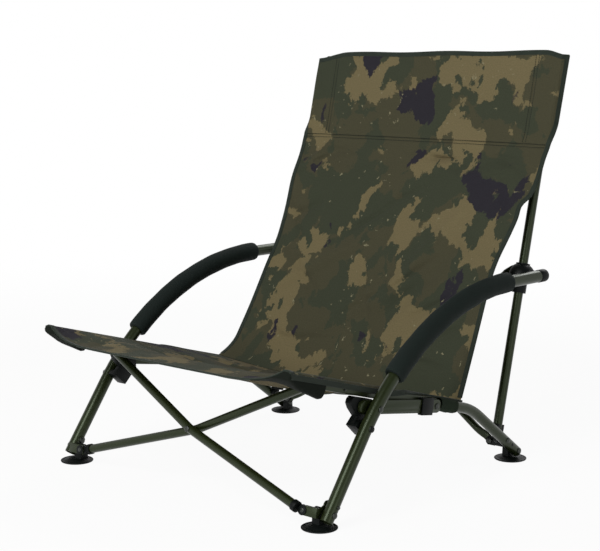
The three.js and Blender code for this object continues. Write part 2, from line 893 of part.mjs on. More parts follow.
// Back brace: a straight tube with a flat eye welded in each end
function backBraceTube(layer) {
  const low = flat(backHub, backPlane.hubDown);
  const high = flat(-backHub, backPlane.tipUp);
  const direction = high.clone().sub(low).normalize();
  const inset = backEyeRadius * 2 + gap;
  const start = moved(low, direction, inset);
  const end = moved(high, direction, -inset);
  const lap = (from, to) => plate(slotShape(from, to, backEyeRadius), -tongueThickness / 2,
    tongueThickness / 2, backPlane.basis);
  const bore = (point) => rod(onPlane(backPlane, point.x, point.y, -tongueThickness),
    onPlane(backPlane, point.x, point.y, tongueThickness), pinRadius + pinClearance);
  return cut(
    joined(
      tube([onPlane(backPlane, start.x, start.y, layer), onPlane(backPlane, end.x, end.y, layer)],
        backBraceRadius, backBraceRadius - braceWall),
      lap(low, moved(start, direction, tabLap)),
      lap(moved(end, direction, -tabLap), high)
    ),
    bore(low),
    bore(high),
    crossHole(backPlane, pinRadius + pinClearance)
  );
}

function backCrossRivet() {
  const reach = 2 * backLayer - braceGap / 2 + gap;
  return joined(
    rod(onPlane(backPlane, 0, 0, braceGap / 2), onPlane(backPlane, 0, 0, reach + headHeight), pinRadius),
    rod(onPlane(backPlane, 0, 0, reach), onPlane(backPlane, 0, 0, reach + headHeight), headRadius)
  );
}

// Seat sling: hung between the rails, with a pocket round the front end of each rail
function eased(value, stops) {
  const next = stops.findIndex(([at]) => at >= value);
  if (next <= 0) {
    return next === 0 ? stops[0][1] : stops[stops.length - 1][1];
  }
  const [from, low] = stops[next - 1];
  const [to, high] = stops[next];
  return low + (high - low) * THREE.MathUtils.smoothstep(value, from, to);
}

const seatMiddle = (seatFrontAlong + seatRearAlong) / 2;
const hangShare = (railInner - gap) / slingHalfWidth;

// Place of a column of the sling, from -1 to 1 across. The cloth lies flat on the rails.
function slingSide(across) {
  if (across === 0 || across === 1) {
    return 2 * across - 1;
  }
  const inner = 1 / slingSteps;
  return THREE.MathUtils.mapLinear(across, inner, 1 - inner, -hangShare, hangShare);
}

function seatRest(along) {
  const front = railTop + gap;
  const rear = rearTubeRadius + 2 * gap;
  return THREE.MathUtils.mapLinear(along, seatFrontAlong, seatRearAlong, front, rear);
}

function seatSag(along, side) {
  const depth = eased(along, [
    [seatFrontAlong, seatSagFront],
    [braceAimAlong, seatSagBrace],
    [seatMiddle, seatSagMiddle],
    [seatRearAlong, seatSagRear]
  ]);
  const spanned = Math.min(Math.abs(side) / hangShare, 1);
  return depth * (1 - spanned * spanned);
}

function seatPoint(side, along, thickness) {
  const point = railPoint(along, seatRest(along) + thickness);
  return new THREE.Vector3(side * slingHalfWidth, point.x, point.y - seatSag(along, side));
}

function seatSling() {
  const surface = (thickness) => (across, along) => seatPoint(
    slingSide(across), THREE.MathUtils.lerp(seatFrontAlong, seatRearAlong, along), thickness);
  let sling = sheet(slingSteps, seatSteps, surface(slingThickness), surface(0));
  const basis = new THREE.Matrix4().makeBasis(
    new THREE.Vector3(1, 0, 0), inSpace(0, railUp), inSpace(0, railDirection).negate());
  const pocketInner = railThickness / 2 + gap;
  const pocketOuter = pocketInner + pocketSide;
  const roof = railTop + gap;
  const floor = railTop - railHeight - gap;
  for (const side of [-1, 1]) {
    basis.setPosition(inSpace(side * railOffset, railFront));
    sling = cut(
      joined(sling, plate(boxShape(-pocketOuter, pocketOuter, -pocketDrop, pocketRise),
        -pocketDepth, pocketReach, basis)),
      plate(boxShape(-pocketInner, pocketInner, floor, roof), -pocketDepth - overrun, gap, basis)
    );
  }
  return sling;
}

// Back sling: from the rear of the seat up to the tops of the poles, sleeved over them
const backRiseShares = [
  [0, 0], [0.17, 0.2], [0.32, 0.36], [0.477, 0.56], [0.595, 0.68],
  [0.655, 0.775], [0.74, 0.86], [0.85, 0.92], [1, 1]
];
const backWidthShares = [
  [0, 1], [0.17, 0.965], [0.38, 0.932], [0.59, 1], [0.74, 1.045], [1, 1.052]
];
const backLow = railPoint(seatRearAlong, seatRest(seatRearAlong) + slingThickness);
const backHigh = moved(socketPivot, poleDirection, poleLength + sleeveTopUp + gap);

function straightBetween(value, stops) {
  const next = Math.max(stops.findIndex(([at]) => at >= value), 1);
  const [from, low] = stops[next - 1];
  const [to, high] = stops[next];
  return THREE.MathUtils.mapLinear(value, from, to, low, high);
}

function backProfile(share) {
  const back = straightBetween(share, backRiseShares);
  return flat(
    THREE.MathUtils.lerp(backLow.x, backHigh.x - poleRadius - slingThickness - gap, back) + seamGap,
    THREE.MathUtils.lerp(backLow.y, backHigh.y, share) + seamGap
  );
}

function backSling() {
  const surface = (depth) => (across, share) => {
    const side = slingSide(across);
    const point = backProfile(share);
    const low = seatSag(seatRearAlong, side) * (1 - share);
    const belly = backSag * (1 - side * side) * Math.sin(Math.PI * share);
    const half = slingHalfWidth * straightBetween(share, backWidthShares);
    return new THREE.Vector3(side * half, point.x + belly + depth, point.y - low);
  };
  let sling = sheet(slingSteps, backSteps, surface(0), surface(slingThickness));
  const top = poleLength + sleeveTopUp;
  for (const side of [-1, 1]) {
    const at = (up) => polePoint(up).multiply(new THREE.Vector3(side, 1, 1));
    sling = cut(
      joined(sling, rod(at(top - sleeveBottomDown), at(top), poleRadius + gap + sleeveWall, tubeSides)),
      rod(at(top - sleeveBottomDown - overrun), at(poleLength + gap),
        (poleRadius + gap) / Math.cos(Math.PI / tubeSides), tubeSides)
    );
  }
  return sling;
}

// Finishes
const finishes = {
  frame: { color: 0x3a4530, roughness: 0.38, metalness: 0.35 },
  plastic: { color: 0x16191a, roughness: 0.5, metalness: 0 },
  rubber: { color: 0x111415, roughness: 0.75, metalness: 0 },
  foam: { color: 0x151819, roughness: 0.92, metalness: 0 },
  rivet: { color: 0x2a2d2b, roughness: 0.35, metalness: 0.8 },
  cloth: { color: 0x4a4a35, roughness: 0.9, metalness: 0 }
};

const chair = new THREE.Group();
chair.name = 'carp_chair';

function place(name, finish, solid, mirrored = false) {
  const mesh = new THREE.Mesh(geometryFrom(solid, mirrored), new THREE.MeshStandardMaterial(finishes[finish]));
  mesh.name = name;
  chair.add(mesh);
}

const sidePieces = [
  ['arm_leg_tube', 'frame', armLegTube],
  ['foam_grip', 'foam', foamGrip],
  ['arm_end_cap', 'plastic', armEndCap],
  ['front_foot', 'rubber', frontFoot],
  ['front_foot_pin', 'rivet', frontFootPin],
  ['front_clevis', 'frame', frontClevis],
  ['front_clevis_rivet', 'rivet', frontClevisRivet],
  ['front_brace_pin', 'rivet', frontBracePin],
  ['under_seat_bracket', 'plastic', underSeatBracket],
  ['link_bolt', 'rivet', linkBolt],
  ['link_bar', 'frame', linkBar],
  ['link_clip', 'plastic', linkClip],
  ['link_rivet', 'rivet', linkRivet],
  ['seat_rail', 'frame', seatRail],
  ['rear_leg_tube', 'frame', rearLegTube],
  ['rear_foot', 'rubber', rearFoot],
  ['rear_foot_pin', 'rivet', rearFootPin],
  ['back_pole', 'frame', backPole],
  ['pole_socket', 'plastic', poleSocket],
  ['socket_pin', 'rivet', socketPin],
  ['arm_slider', 'plastic', armSlider],
  ['slider_pin', 'rivet', sliderPin],
  ['rear_clevis', 'plastic', rearClevis],
  ['rear_brace_pin', 'rivet', rearBracePin]
];

// Pieces that lie on the front layer of their cross on the left and on the rear layer on the right
const layeredPieces = [
  ['front_brace_tube', 'frame', frontBraceTube, frontLayer],
  ['front_brace_socket', 'plastic', frontBraceSocket, frontLayer],
  ['front_brace_tip', 'plastic', frontBraceTip, frontLayer],
  ['back_brace_tube', 'frame', backBraceTube, backLayer]
];

for (const [side, sign] of [['left', 1], ['right', -1]]) {
  for (const [name, finish, make] of sidePieces) {
    place(`${side}_${name}`, finish, make(), sign < 0);
  }
  for (const [name, finish, make, layer] of layeredPieces) {
    place(`${side}_${name}`, finish, make(sign * layer), sign < 0);
  }
}
place('front_cross_rivet', 'rivet', frontCrossRivet());
place('back_cross_rivet', 'rivet', backCrossRivet());
place('seat_sling', 'cloth', seatSling());
place('back_sling', 'cloth', backSling());

// The origin is on the floor at the middle of the whole chair.
const reach = new THREE.Box3().setFromObject(chair);
chair.position.y = -(reach.min.y + reach.max.y) / 2;

// Pivots of the left side, in the chair's final place
const pivots = {
  frontFootPivot, clevisPivot, frontHubPivot, linkPivot, linkRailPivot,
  rearFootPivot, rearClevisPivot, socketPivot, sliderPivot, backTip, frontTip
};
chair.userData.pivots = Object.fromEntries(Object.entries(pivots).map(
  ([name, point]) => [name, [point.x + chair.position.y, point.y]]));
chair.userData.hubs = { frontHub, backHub, armCentre, rearCentre, poleCentre, footCentre };
chair.userData.crossing = onPlane(frontPlane, 0, 0, 0).add(chair.position).toArray();

export default chair;
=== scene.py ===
import math

import bmesh
import bpy
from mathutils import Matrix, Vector


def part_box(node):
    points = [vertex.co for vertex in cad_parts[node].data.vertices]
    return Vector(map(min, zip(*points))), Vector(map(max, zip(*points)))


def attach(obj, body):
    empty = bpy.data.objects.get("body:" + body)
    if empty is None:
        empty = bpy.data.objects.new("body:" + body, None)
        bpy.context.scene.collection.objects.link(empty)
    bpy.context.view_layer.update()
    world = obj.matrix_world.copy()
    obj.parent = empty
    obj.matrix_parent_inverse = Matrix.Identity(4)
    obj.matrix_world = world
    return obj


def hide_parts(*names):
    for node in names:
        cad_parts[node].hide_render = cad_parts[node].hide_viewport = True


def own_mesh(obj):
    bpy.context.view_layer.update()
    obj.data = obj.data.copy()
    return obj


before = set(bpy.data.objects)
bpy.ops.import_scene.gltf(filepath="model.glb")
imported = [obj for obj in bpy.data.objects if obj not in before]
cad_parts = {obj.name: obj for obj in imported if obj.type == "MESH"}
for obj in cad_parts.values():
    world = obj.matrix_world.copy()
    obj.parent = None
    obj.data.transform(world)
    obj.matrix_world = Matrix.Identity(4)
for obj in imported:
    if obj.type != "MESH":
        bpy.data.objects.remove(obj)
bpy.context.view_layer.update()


# Camera, floor and light
# The chair stands on a plain pale floor in soft studio light and is seen from its front left corner.
# Lengths run back from the middle of the front feet, across to the sitter's left, and up from the floor.
foot_low, foot_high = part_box("left_front_foot")
front_line = (foot_low.y + foot_high.y) / 2


def spot(x, y, z):
    """A place in the chair's own lengths: across, back from the front feet, and up."""
    return Vector((x, front_line + y, z))


def linear(red, green, blue):
    """A colour as it is seen on a screen, from 0 to 255, turned into the values that a shader takes."""
    shades = []
    for value in (red, green, blue):
        share = value / 255
        shades.append(share / 12.92 if share <= 0.04045 else ((share + 0.055) / 1.055) ** 2.4)
    return (*shades, 1.0)


def add_node(tree, kind, values=None, links=None, **settings):
    """A node with its settings, the values of its open sockets, and the sources of the linked ones."""
    node = tree.nodes.new(kind)
    for name, value in settings.items():
        setattr(node, name, value)
    for socket, value in (values or {}).items():
        node.inputs[socket].default_value = value
    for socket, source in (links or {}).items():
        tree.links.new(source, node.inputs[socket])
    return node


def worked(tree, operation, first, second):
    """The result of a sum of two sockets, or of a socket and a plain value."""
    node = add_node(tree, "ShaderNodeMath", operation=operation)
    for socket, given in enumerate((first, second)):
        if isinstance(given, float):
            node.inputs[socket].default_value = given
        else:
            tree.links.new(given, node.inputs[socket])
    return node.outputs[0]


def ranged(tree, source, low, high, first, last, way="SMOOTHSTEP"):
    """A value that goes from first to last while its source goes from low to high."""
    return add_node(tree, "ShaderNodeMapRange", {1: low, 2: high, 3: first, 4: last}, {0: source},
                    interpolation_type=way).outputs[0]


def look_at(thing, place, aim):
    """Sets a camera or a lamp in its place, turned to its aim."""
    thing.location = spot(*place)
    thing.rotation_euler = (spot(*aim) - thing.location).to_track_quat("-Z", "Y").to_euler()
    bpy.context.scene.collection.objects.link(thing)


camera = bpy.data.objects.new("camera", bpy.data.cameras.new("camera"))
camera.data.sensor_width = 36
camera.data.lens = 91.44
camera.data.clip_end = 60
camera_place = (1.8516, -1.7522, 0.7530)
camera_aim = (0, 0.284, 0.346)
look_at(camera, camera_place, camera_aim)
bpy.context.scene.camera = camera
bpy.context.scene.view_settings.view_transform = "Standard"

floor_reach = 14
floor_mesh = bpy.data.meshes.new("floor")
floor_corners = [(x * floor_reach, y * floor_reach, 0) for x, y in ((-1, -1), (1, -1), (1, 1), (-1, 1))]
floor_mesh.from_pydata(floor_corners, [], [(0, 1, 2, 3)])
floor = bpy.data.objects.new("floor", floor_mesh)
bpy.context.scene.collection.objects.link(floor)

floor_finish = bpy.data.materials.new("pale_floor")
floor_finish.use_nodes = True
tree = floor_finish.node_tree
tree.nodes.clear()


def shown_rays(tree):
    """Rays that show the pale background itself: straight from the camera, mirrored or through glass."""
    rays = add_node(tree, "ShaderNodeLightPath")
    straight = worked(tree, "MAXIMUM", rays.outputs["Is Camera Ray"], rays.outputs["Is Glossy Ray"])
    return worked(tree, "MAXIMUM", straight, rays.outputs["Is Transmission Ray"])


ground = add_node(tree, "ShaderNodeTexCoord")
distance = add_node(tree, "ShaderNodeVectorMath", {}, {0: ground.outputs["Object"]}, operation="LENGTH")
shadow_reach = 0.9
clear_reach = 3.0
paleness = ranged(tree, distance.outputs["Value"], shadow_reach, clear_reach, 0.94, 1.0)
bright_share = worked(tree, "MULTIPLY", shown_rays(tree), paleness)
matt = add_node(tree, "ShaderNodeBsdfDiffuse", {"Color": linear(228, 228, 226)})
bright = add_node(tree, "ShaderNodeEmission", {"Color": (1, 1, 1, 1), "Strength": 1.0})
mixed = add_node(tree, "ShaderNodeMixShader", {},
                 {0: bright_share, 1: matt.outputs[0], 2: bright.outputs[0]})
add_node(tree, "ShaderNodeOutputMaterial", {}, {"Surface": mixed.outputs[0]})
floor_mesh.materials.append(floor_finish)

world = bpy.data.worlds.new("studio")
world.use_nodes = True
bpy.context.scene.world = world
tree = world.node_tree
tree.nodes.clear()
way_out = add_node(tree, "ShaderNodeTexCoord")
axes = add_node(tree, "ShaderNodeSeparateXYZ", {}, {0: way_out.outputs["Generated"]})
room_light = ranged(tree, axes.outputs[2], 0.0, 0.8, 0.27, 0.12)
room = add_node(tree, "ShaderNodeBackground", {"Color": (1, 1, 1, 1)}, {"Strength": room_light})
shown_light = ranged(tree, axes.outputs[2], 0.3, 0.75, 1.0, 0.2)
backdrop = add_node(tree, "ShaderNodeBackground", {"Color": (1, 1, 1, 1)}, {"Strength": shown_light})
mixed = add_node(tree, "ShaderNodeMixShader", {},
                 {0: shown_rays(tree), 1: room.outputs[0], 2: backdrop.outputs[0]})
add_node(tree, "ShaderNodeOutputWorld", {}, {"Surface": mixed.outputs[0]})

lamp_aim = (0, 0.3, 0.3)
for name, place, size, power in (
    ("key_lamp", (0.36, -2.13, 2.3), 1.5, 56),
    ("front_lamp", (0.1, -2.9, 1.2), 1.4, 29),
    ("side_lamp", (3.16, -0.38, 0.67), 0.9, 5),
    ("back_lamp", (-0.6, 2.8, 2.4), 1.6, 34),
):
    lamp = bpy.data.objects.new(name, bpy.data.lights.new(name, "AREA"))
    lamp.data.size = size
    lamp.data.energy = power
    look_at(lamp, place, lamp_aim)


# Arm and leg tubes
# One bent steel tube on each side is the front leg and the armrest. It is cut square at the foot and
# drilled for its rivets, and has a satin olive green powder coat.
def surface_finish():
    """Slow changes of tone and a fine grain, shared by the coats, the plastics, the rubber and the foam."""
    group = bpy.data.node_groups.new("surface_finish", "ShaderNodeTree")
    sockets = group.interface
    sockets.new_socket("Base", in_out="INPUT", socket_type="NodeSocketColor")
    for label in ("Variation", "Variation Scale", "Grain Scale", "Roughness", "Roughness Spread"):
        sockets.new_socket(label, in_out="INPUT", socket_type="NodeSocketFloat")
    sockets.new_socket("Colour", in_out="OUTPUT", socket_type="NodeSocketColor")
    sockets.new_socket("Grain", in_out="OUTPUT", socket_type="NodeSocketFloat")
    sockets.new_socket("Roughness", in_out="OUTPUT", socket_type="NodeSocketFloat")
    given = add_node(group, "NodeGroupInput")
    place = add_node(group, "ShaderNodeTexCoord")
    slow = add_node(group, "ShaderNodeTexNoise", {"Detail": 3.0, "Roughness": 0.55},
                    {"Vector": place.outputs["Object"], "Scale": given.outputs["Variation Scale"]})
    fine = add_node(group, "ShaderNodeTexNoise", {"Detail": 2.0, "Roughness": 0.5},
                    {"Vector": place.outputs["Object"], "Scale": given.outputs["Grain Scale"]})
    darkest = worked(group, "SUBTRACT", 1.0, given.outputs["Variation"])
    lightest = worked(group, "ADD", 1.0, given.outputs["Variation"])
    tone = add_node(group, "ShaderNodeMapRange", {1: 0.3, 2: 0.7},
                    {0: slow.outputs[0], 3: darkest, 4: lightest})
    toned = add_node(group, "ShaderNodeVectorMath", {},
                     {0: given.outputs["Base"], "Scale": tone.outputs[0]}, operation="SCALE")
    uneven = worked(group, "MULTIPLY", slow.outputs[0], given.outputs["Roughness Spread"])
    rough = worked(group, "ADD", uneven, given.outputs["Roughness"])
    add_node(group, "NodeGroupOutput", {}, {"Colour": toned.outputs[0], "Grain": fine.outputs[0],
                                            "Roughness": rough})
    return group


finish_group = surface_finish()


def finish(name, base, variation=0.12, variation_scale=18.0, grain_scale=1400.0, grain_depth=0.0001,
           roughness=0.35, roughness_spread=0.12, metallic=0.0, specular=0.5, tint=(1, 1, 1, 1)):
    """A hard or rubbery finish: one shader with the shared tone and grain."""
    material = bpy.data.materials.new(name)
    material.use_nodes = True
    tree = material.node_tree
    shader = tree.nodes["Principled BSDF"]
    shader.inputs["Metallic"].default_value = metallic
    shader.inputs["Specular IOR Level"].default_value = specular
    shader.inputs["Specular Tint"].default_value = tint
    look = add_node(tree, "ShaderNodeGroup", node_tree=finish_group)
    look.inputs["Base"].default_value = base
    for label, value in (("Variation", variation), ("Variation Scale", variation_scale),
                         ("Grain Scale", grain_scale), ("Roughness", roughness),
                         ("Roughness Spread", roughness_spread)):
        look.inputs[label].default_value = value
    bump = add_node(tree, "ShaderNodeBump", {"Distance": grain_depth, "Strength": 0.6},
                    {"Height": look.outputs["Grain"]})
    tree.links.new(look.outputs["Colour"], shader.inputs["Base Color"])
    tree.links.new(look.outputs["Roughness"], shader.inputs["Roughness"])
    tree.links.new(bump.outputs[0], shader.inputs["Normal"])
    return material


coat = finish("olive_coat", linear(28, 34, 14), variation=0.07, variation_scale=26, grain_scale=1700,
              grain_depth=0.00003, roughness=0.28, roughness_spread=0.06, specular=0.34,
              tint=(0.84, 1.0, 0.72, 1))

across = Vector((1, 0, 0))


def closed_mesh(name, points, faces, crease):
    """A closed mesh with its faces outwards, and sharp where they turn by more than a crease in degrees."""
    mesh = bpy.data.meshes.new(name)
    mesh.from_pydata([tuple(p) for p in points], [], faces)
    work = bmesh.new()
    work.from_mesh(mesh)
    bmesh.ops.remove_doubles(work, verts=work.verts, dist=1e-6)
    bmesh.ops.recalc_face_normals(work, faces=work.faces)
    work.to_mesh(mesh)
    work.free()
    mesh.shade_smooth()
    mesh.set_sharp_from_angle(angle=math.radians(crease))
    return mesh


def piece(name, points, faces, material):
    """A closed piece of the chair in one material."""
    mesh = closed_mesh(name, points, faces, 38)
    mesh.materials.append(material)
    made = bpy.data.objects.new(name, mesh)
    bpy.context.scene.collection.objects.link(made)
    return made


def skin_faces(rings, sides, looped=True):
    """Faces between one ring of points and the next, and from the last ring back to the first."""
    faces = []
    for i in range(rings if looped else rings - 1):
        here = i * sides
        after = ((i + 1) % rings) * sides
        for j in range(sides):
            k = (j + 1) % sides
            faces.append((here + j, here + k, after + k, after + j))
    return faces


def directions(path):
    """The direction of a path at each of its points, half way through each turn."""
    ways = []
    for i in range(len(path)):
        before = (path[i] - path[i - 1]).normalized() if i else Vector()
        after = (path[i + 1] - path[i]).normalized() if i + 1 < len(path) else Vector()
        ways.append((before + after).normalized())
    return ways


def ring(centre, way, side, wide, high, sides):
    """Points round a centre: wide along side, and high square to it and to the way of the path."""
    rise = way.cross(side).normalized()
    level = rise.cross(way).normalized()
    turns = [math.tau * j / sides for j in range(sides)]
    return [centre + level * (wide * math.cos(turn)) + rise * (high * math.sin(turn)) for turn in turns]


def tube(path, side, outer, wall, sides=32, rim=0.0004):
    """Rings of an open tube: the outside with eased rims, and the bore back to the start."""
    ways = directions(path)
    stations = [(path[0], ways[0], outer - rim), (path[0] + ways[0] * rim, ways[0], outer)]
    stations += [(path[i], ways[i], outer) for i in range(1, len(path) - 1)]
    stations += [(path[-1] - ways[-1] * rim, ways[-1], outer), (path[-1], ways[-1], outer - rim)]
    stations += [(path[i], ways[i], outer - wall) for i in range(len(path) - 1, -1, -1)]
    points = []
    for centre, way, radius in stations:
        points += ring(centre, way, side, radius, radius, sides)
    return points, skin_faces(len(stations), sides)


def settle(made, body, slot, *replaced):
    """The piece rides on its body and stands for the solids that it covers. Its slot is not used."""
    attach(made, body)
    if replaced:
        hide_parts(*replaced)
    return made


sides_of_chair = (("left", 1), ("right", -1))
arm_centre = 0.316
arm_radius = 0.011
arm_wall = 0.0015
leg_end = (-0.00235, 0.0132)
leg_angle = math.radians(54.2)
leg_straight = 0.1508
bend_radius = 0.5
arm_straight = 0.092
bend_length = bend_radius * leg_angle
arm_length = leg_straight + bend_length + arm_straight


def arm_point(length):
    """A point of the arm's centre line in the side plane, at a length from its foot."""
    way_y, way_z = math.cos(leg_angle), math.sin(leg_angle)
    if length <= leg_straight:
        return (leg_end[0] + length * way_y, leg_end[1] + length * way_z)
    angle = leg_angle - min((length - leg_straight) / bend_radius, leg_angle)
    centre = (leg_end[0] + leg_straight * way_y + bend_radius * way_z,
              leg_end[1] + leg_straight * way_z - bend_radius * way_y)
    beyond = max(length - leg_straight - bend_length, 0)
    return (centre[0] - bend_radius * math.sin(angle) + beyond * math.cos(angle),
            centre[1] + bend_radius * math.cos(angle) + beyond * math.sin(angle))


def arm_path(start, end, sign, step=0.014):
    """Points of the arm's centre line between two lengths from its foot."""
    count = max(int((end - start) / step), 2)
    return [spot(sign * arm_centre, *arm_point(start + (end - start) * i / count)) for i in range(count + 1)]


for side_name, sign in sides_of_chair:
    arm = tube(arm_path(0, arm_length, sign), across, arm_radius, arm_wall)
    settle(piece(f"{side_name}_arm_leg_steel", *arm, coat), f"{side_name}_side", "frame",
           f"{side_name}_arm_leg_tube")


# Foam grips
# A black closed-cell foam sleeve is pulled over the bend of each armrest. Its ends are soft and
# slightly squeezed, and its skin is matt with fine pores.
foam_finish = finish("black_foam", linear(18, 27, 24), variation=0.16, variation_scale=60, grain_scale=1100,
                     grain_depth=0.0005, roughness=0.72, roughness_spread=0.2, specular=0.2)
foam_radius = 0.018
foam_round = 0.0042
foam_gap = 0.0003
foam_bore = arm_radius + foam_gap
foam_start_share = 0.25
foam_short_of_bend = 0.0025
foam_start = leg_straight + bend_length * foam_start_share
foam_end = leg_straight + bend_length - foam_short_of_bend
foam_waves = ((0.00022, 21, 0), (0.00016, 47, 1))


def foam_sleeve(sign, round_steps=7, middle_steps=46, bore_steps=20, sides=40):
    """Rings of the sleeve from one round end to the other, and back along its bore."""
    ends = [(foam_round * (1 - math.cos(math.pi / 2 * i / round_steps)),
             foam_radius - foam_round * (1 - math.sin(math.pi / 2 * i / round_steps)))
            for i in range(round_steps + 1)]
    profile = [(foam_start + back, radius) for back, radius in ends]
    for i in range(1, middle_steps):
        share = i / middle_steps
        length = foam_start + foam_round + (foam_end - foam_start - 2 * foam_round) * share
        uneven = sum(height * math.sin(share * turns + start) for height, turns, start in foam_waves)
        profile.append((length, foam_radius + uneven))
    profile += [(foam_end - back, radius) for back, radius in reversed(ends)]
    profile += [(foam_end + (foam_start - foam_end) * i / bore_steps, foam_bore)
                for i in range(bore_steps + 1)]
    points = []
    for length, radius in profile:
        y, z = arm_point(length)
        ahead_y, ahead_z = arm_point(length + 0.001)
        way = Vector((0, ahead_y - y, ahead_z - z)).normalized()
        points += ring(spot(sign * arm_centre, y, z), way, across, radius, radius, sides)
    return points, skin_faces(len(profile), sides)


for side_name, sign in sides_of_chair:
    made = piece(f"{side_name}_foam_sleeve", *foam_sleeve(sign), foam_finish)
    settle(made, f"{side_name}_side", "foam", f"{side_name}_foam_grip")


# End caps of the arms
# Each armrest ends in a moulded black plastic plug: a short collar that covers the tube's rim and a
# domed end with a softened edge.
moulded = finish("black_moulding", linear(9, 13, 12), variation=0.1, variation_scale=70, grain_scale=900,
                 grain_depth=0.00015, roughness=0.38, roughness_spread=0.2, specular=0.13)


def turned(profile, centre, way, side, sides=32):
    """A turned solid from a profile of distances along its axis and radii."""
    points = []
    for distance, radius in profile:
        points += ring(centre + way * distance, way, side, radius, radius, sides)
    return points, skin_faces(len(profile), sides, looped=False)


cap_profile = ((-0.014, 0.0), (-0.014, 0.0088), (0.0003, 0.0088), (0.0004, 0.0112), (0.0012, 0.0118),
               (0.0185, 0.0118), (0.0209, 0.0113), (0.0228, 0.0099), (0.0240, 0.0075), (0.0245, 0.004),
               (0.0246, 0.0))
for side_name, sign in sides_of_chair:
    end = spot(sign * arm_centre, *arm_point(arm_length))
    made = piece(f"{side_name}_arm_plug", *turned(cap_profile, end, Vector((0, 1, 0)), across), moulded)
    settle(made, f"{side_name}_side", "plastic", f"{side_name}_arm_end_cap")


# Seat rails and rear legs
# A flat steel rail runs under each edge of the seat. A round rear leg is pushed over the spigot at
# its rear end and bends down to the rear foot.
rail_offset = 0.29085
rail_front = (-0.066, 0.255)
rail_angle = math.radians(-15.65)
rear_angle = math.radians(-36.2)
rail_to_corner = 0.4973
rear_leg_height = 0.014
rear_centre = 0.295
rear_radius = 0.0095
flat_rail = 0.401
rail_wide = 0.0107
rail_high = 0.019
rail_rounding = 0.003
rail_low_set = -0.001
rear_wall = 0.0015
rear_gap = 0.0003
rear_bend = 0.150


def rail_point(along, up=0.0):
    """A point beside the rail in the side plane: along it from its front end, and up square to it."""
    return (rail_front[0] + along * math.cos(rail_angle) - up * math.sin(rail_angle),
            rail_front[1] + along * math.sin(rail_angle) + up * math.cos(rail_angle))


corner = rail_point(rail_to_corner)
rear_length = (corner[1] - rear_leg_height) / -math.sin(rear_angle)
rear_end = (corner[0] + rear_length * math.cos(rear_angle), corner[1] + rear_length * math.sin(rear_angle))


def rear_leg_path(sign):
    """The rear leg's centre line: on from the rail, round its bend and down to the foot."""
    tangent = rear_bend * math.tan((rail_angle - rear_angle) / 2)
    flat_points = [rail_point(flat_rail + rear_gap), rail_point(rail_to_corner - tangent)]
    centre = rail_point(rail_to_corner - tangent, -rear_bend)
    steps = 10
    for i in range(1, steps + 1):
        angle = rail_angle + (rear_angle - rail_angle) * i / steps
        flat_points.append((centre[0] - rear_bend * math.sin(angle), centre[1] + rear_bend * math.cos(angle)))
    flat_points.append(rear_end)
    return [spot(sign * rear_centre, y, z) for y, z in flat_points]


def rounded_bar(start, end, side, wide, high, easing, nose, corner_steps=4):
    """A solid bar with rounded corners and eased rims. Its lower edge rises towards the start, as a nose."""
    way = (end - start).normalized()
    rise = way.cross(side).normalized()
    outline = []
    for corner_x, corner_y, turn in ((1, 1, 0), (-1, 1, 1), (-1, -1, 2), (1, -1, 3)):
        for i in range(corner_steps + 1):
            angle = math.pi / 2 * (turn + i / corner_steps)
            outline.append((corner_x * (wide / 2 - easing) + easing * math.cos(angle),
                            corner_y * (high / 2 - easing) + easing * math.sin(angle)))
    points = []
    rim = 0.0005
    tip = nose[0][1]
    stations = [(start, 0.0, tip), (start, 1 - 2 * rim / wide, tip), (start + way * rim, 1.0, tip)]
    stations += [(start + way * at, 1.0, share) for at, share in nose[1:]]
    stations += [(end - way * rim, 1.0, 1.0), (end, 1 - 2 * rim / wide, 1.0), (end, 0.0, 1.0)]
    for centre, scale, share in stations:
        raised = high / 2 * (1 - share)
        points += [centre + side * (x * scale) + rise * (y * scale * share - raised) for x, y in outline]
    return points, skin_faces(len(stations), len(outline), looped=False)


def together(*made):
    """Several shells as one list of points and faces."""
    points = []
    faces = []
    for shell_points, shell_faces in made:
        first = len(points)
        points += shell_points
        faces += [tuple(first + i for i in face) for face in shell_faces]
    return points, faces


rail_nose = ((0, 0.32), (0.008, 0.5), (0.018, 0.78), (0.028, 0.95), (0.038, 1.0))
for side_name, sign in sides_of_chair:
    rail = rounded_bar(spot(sign * rail_offset, *rail_point(0, rail_low_set)),
                       spot(sign * rail_offset, *rail_point(flat_rail, rail_low_set)),
                       across, rail_wide, rail_high, rail_rounding, rail_nose)
    made = piece(f"{side_name}_rail_steel", *rail, coat)
    settle(made, f"{side_name}_rail", "frame", f"{side_name}_seat_rail")
    rear_leg = tube(rear_leg_path(sign), across, rear_radius, rear_wall)
    made = piece(f"{side_name}_rear_leg_steel", *rear_leg, coat)
    settle(made, f"{side_name}_rail", "frame", f"{side_name}_rear_leg_tube")


# Back poles
# A straight steel tube on each side stands in a socket on the rear leg, runs through the slider at
# the arm and ends in the sleeve at the edge of the back.
pole_foot = (0.51608, 0.0453)
pole_rise = (0.2391, 0.9710)
pole_centre = 0.2767
pole_radius = 0.0085
pole_wall = 0.0012
pole_start = 0.012
pole_end = 0.714


def pole_point(sign, up):
    """A point of a pole's centre line, at a length from its foot."""
    return spot(sign * pole_centre, pole_foot[0] + pole_rise[0] * up, pole_foot[1] + pole_rise[1] * up)


for side_name, sign in sides_of_chair:
    path = [pole_point(sign, up) for up in (pole_start, (pole_start + pole_end) / 2, pole_end)]
    made = piece(f"{side_name}_pole_steel", *tube(path, across, pole_radius, pole_wall), coat)
    settle(made, f"{side_name}_pole", "frame", f"{side_name}_back_pole")


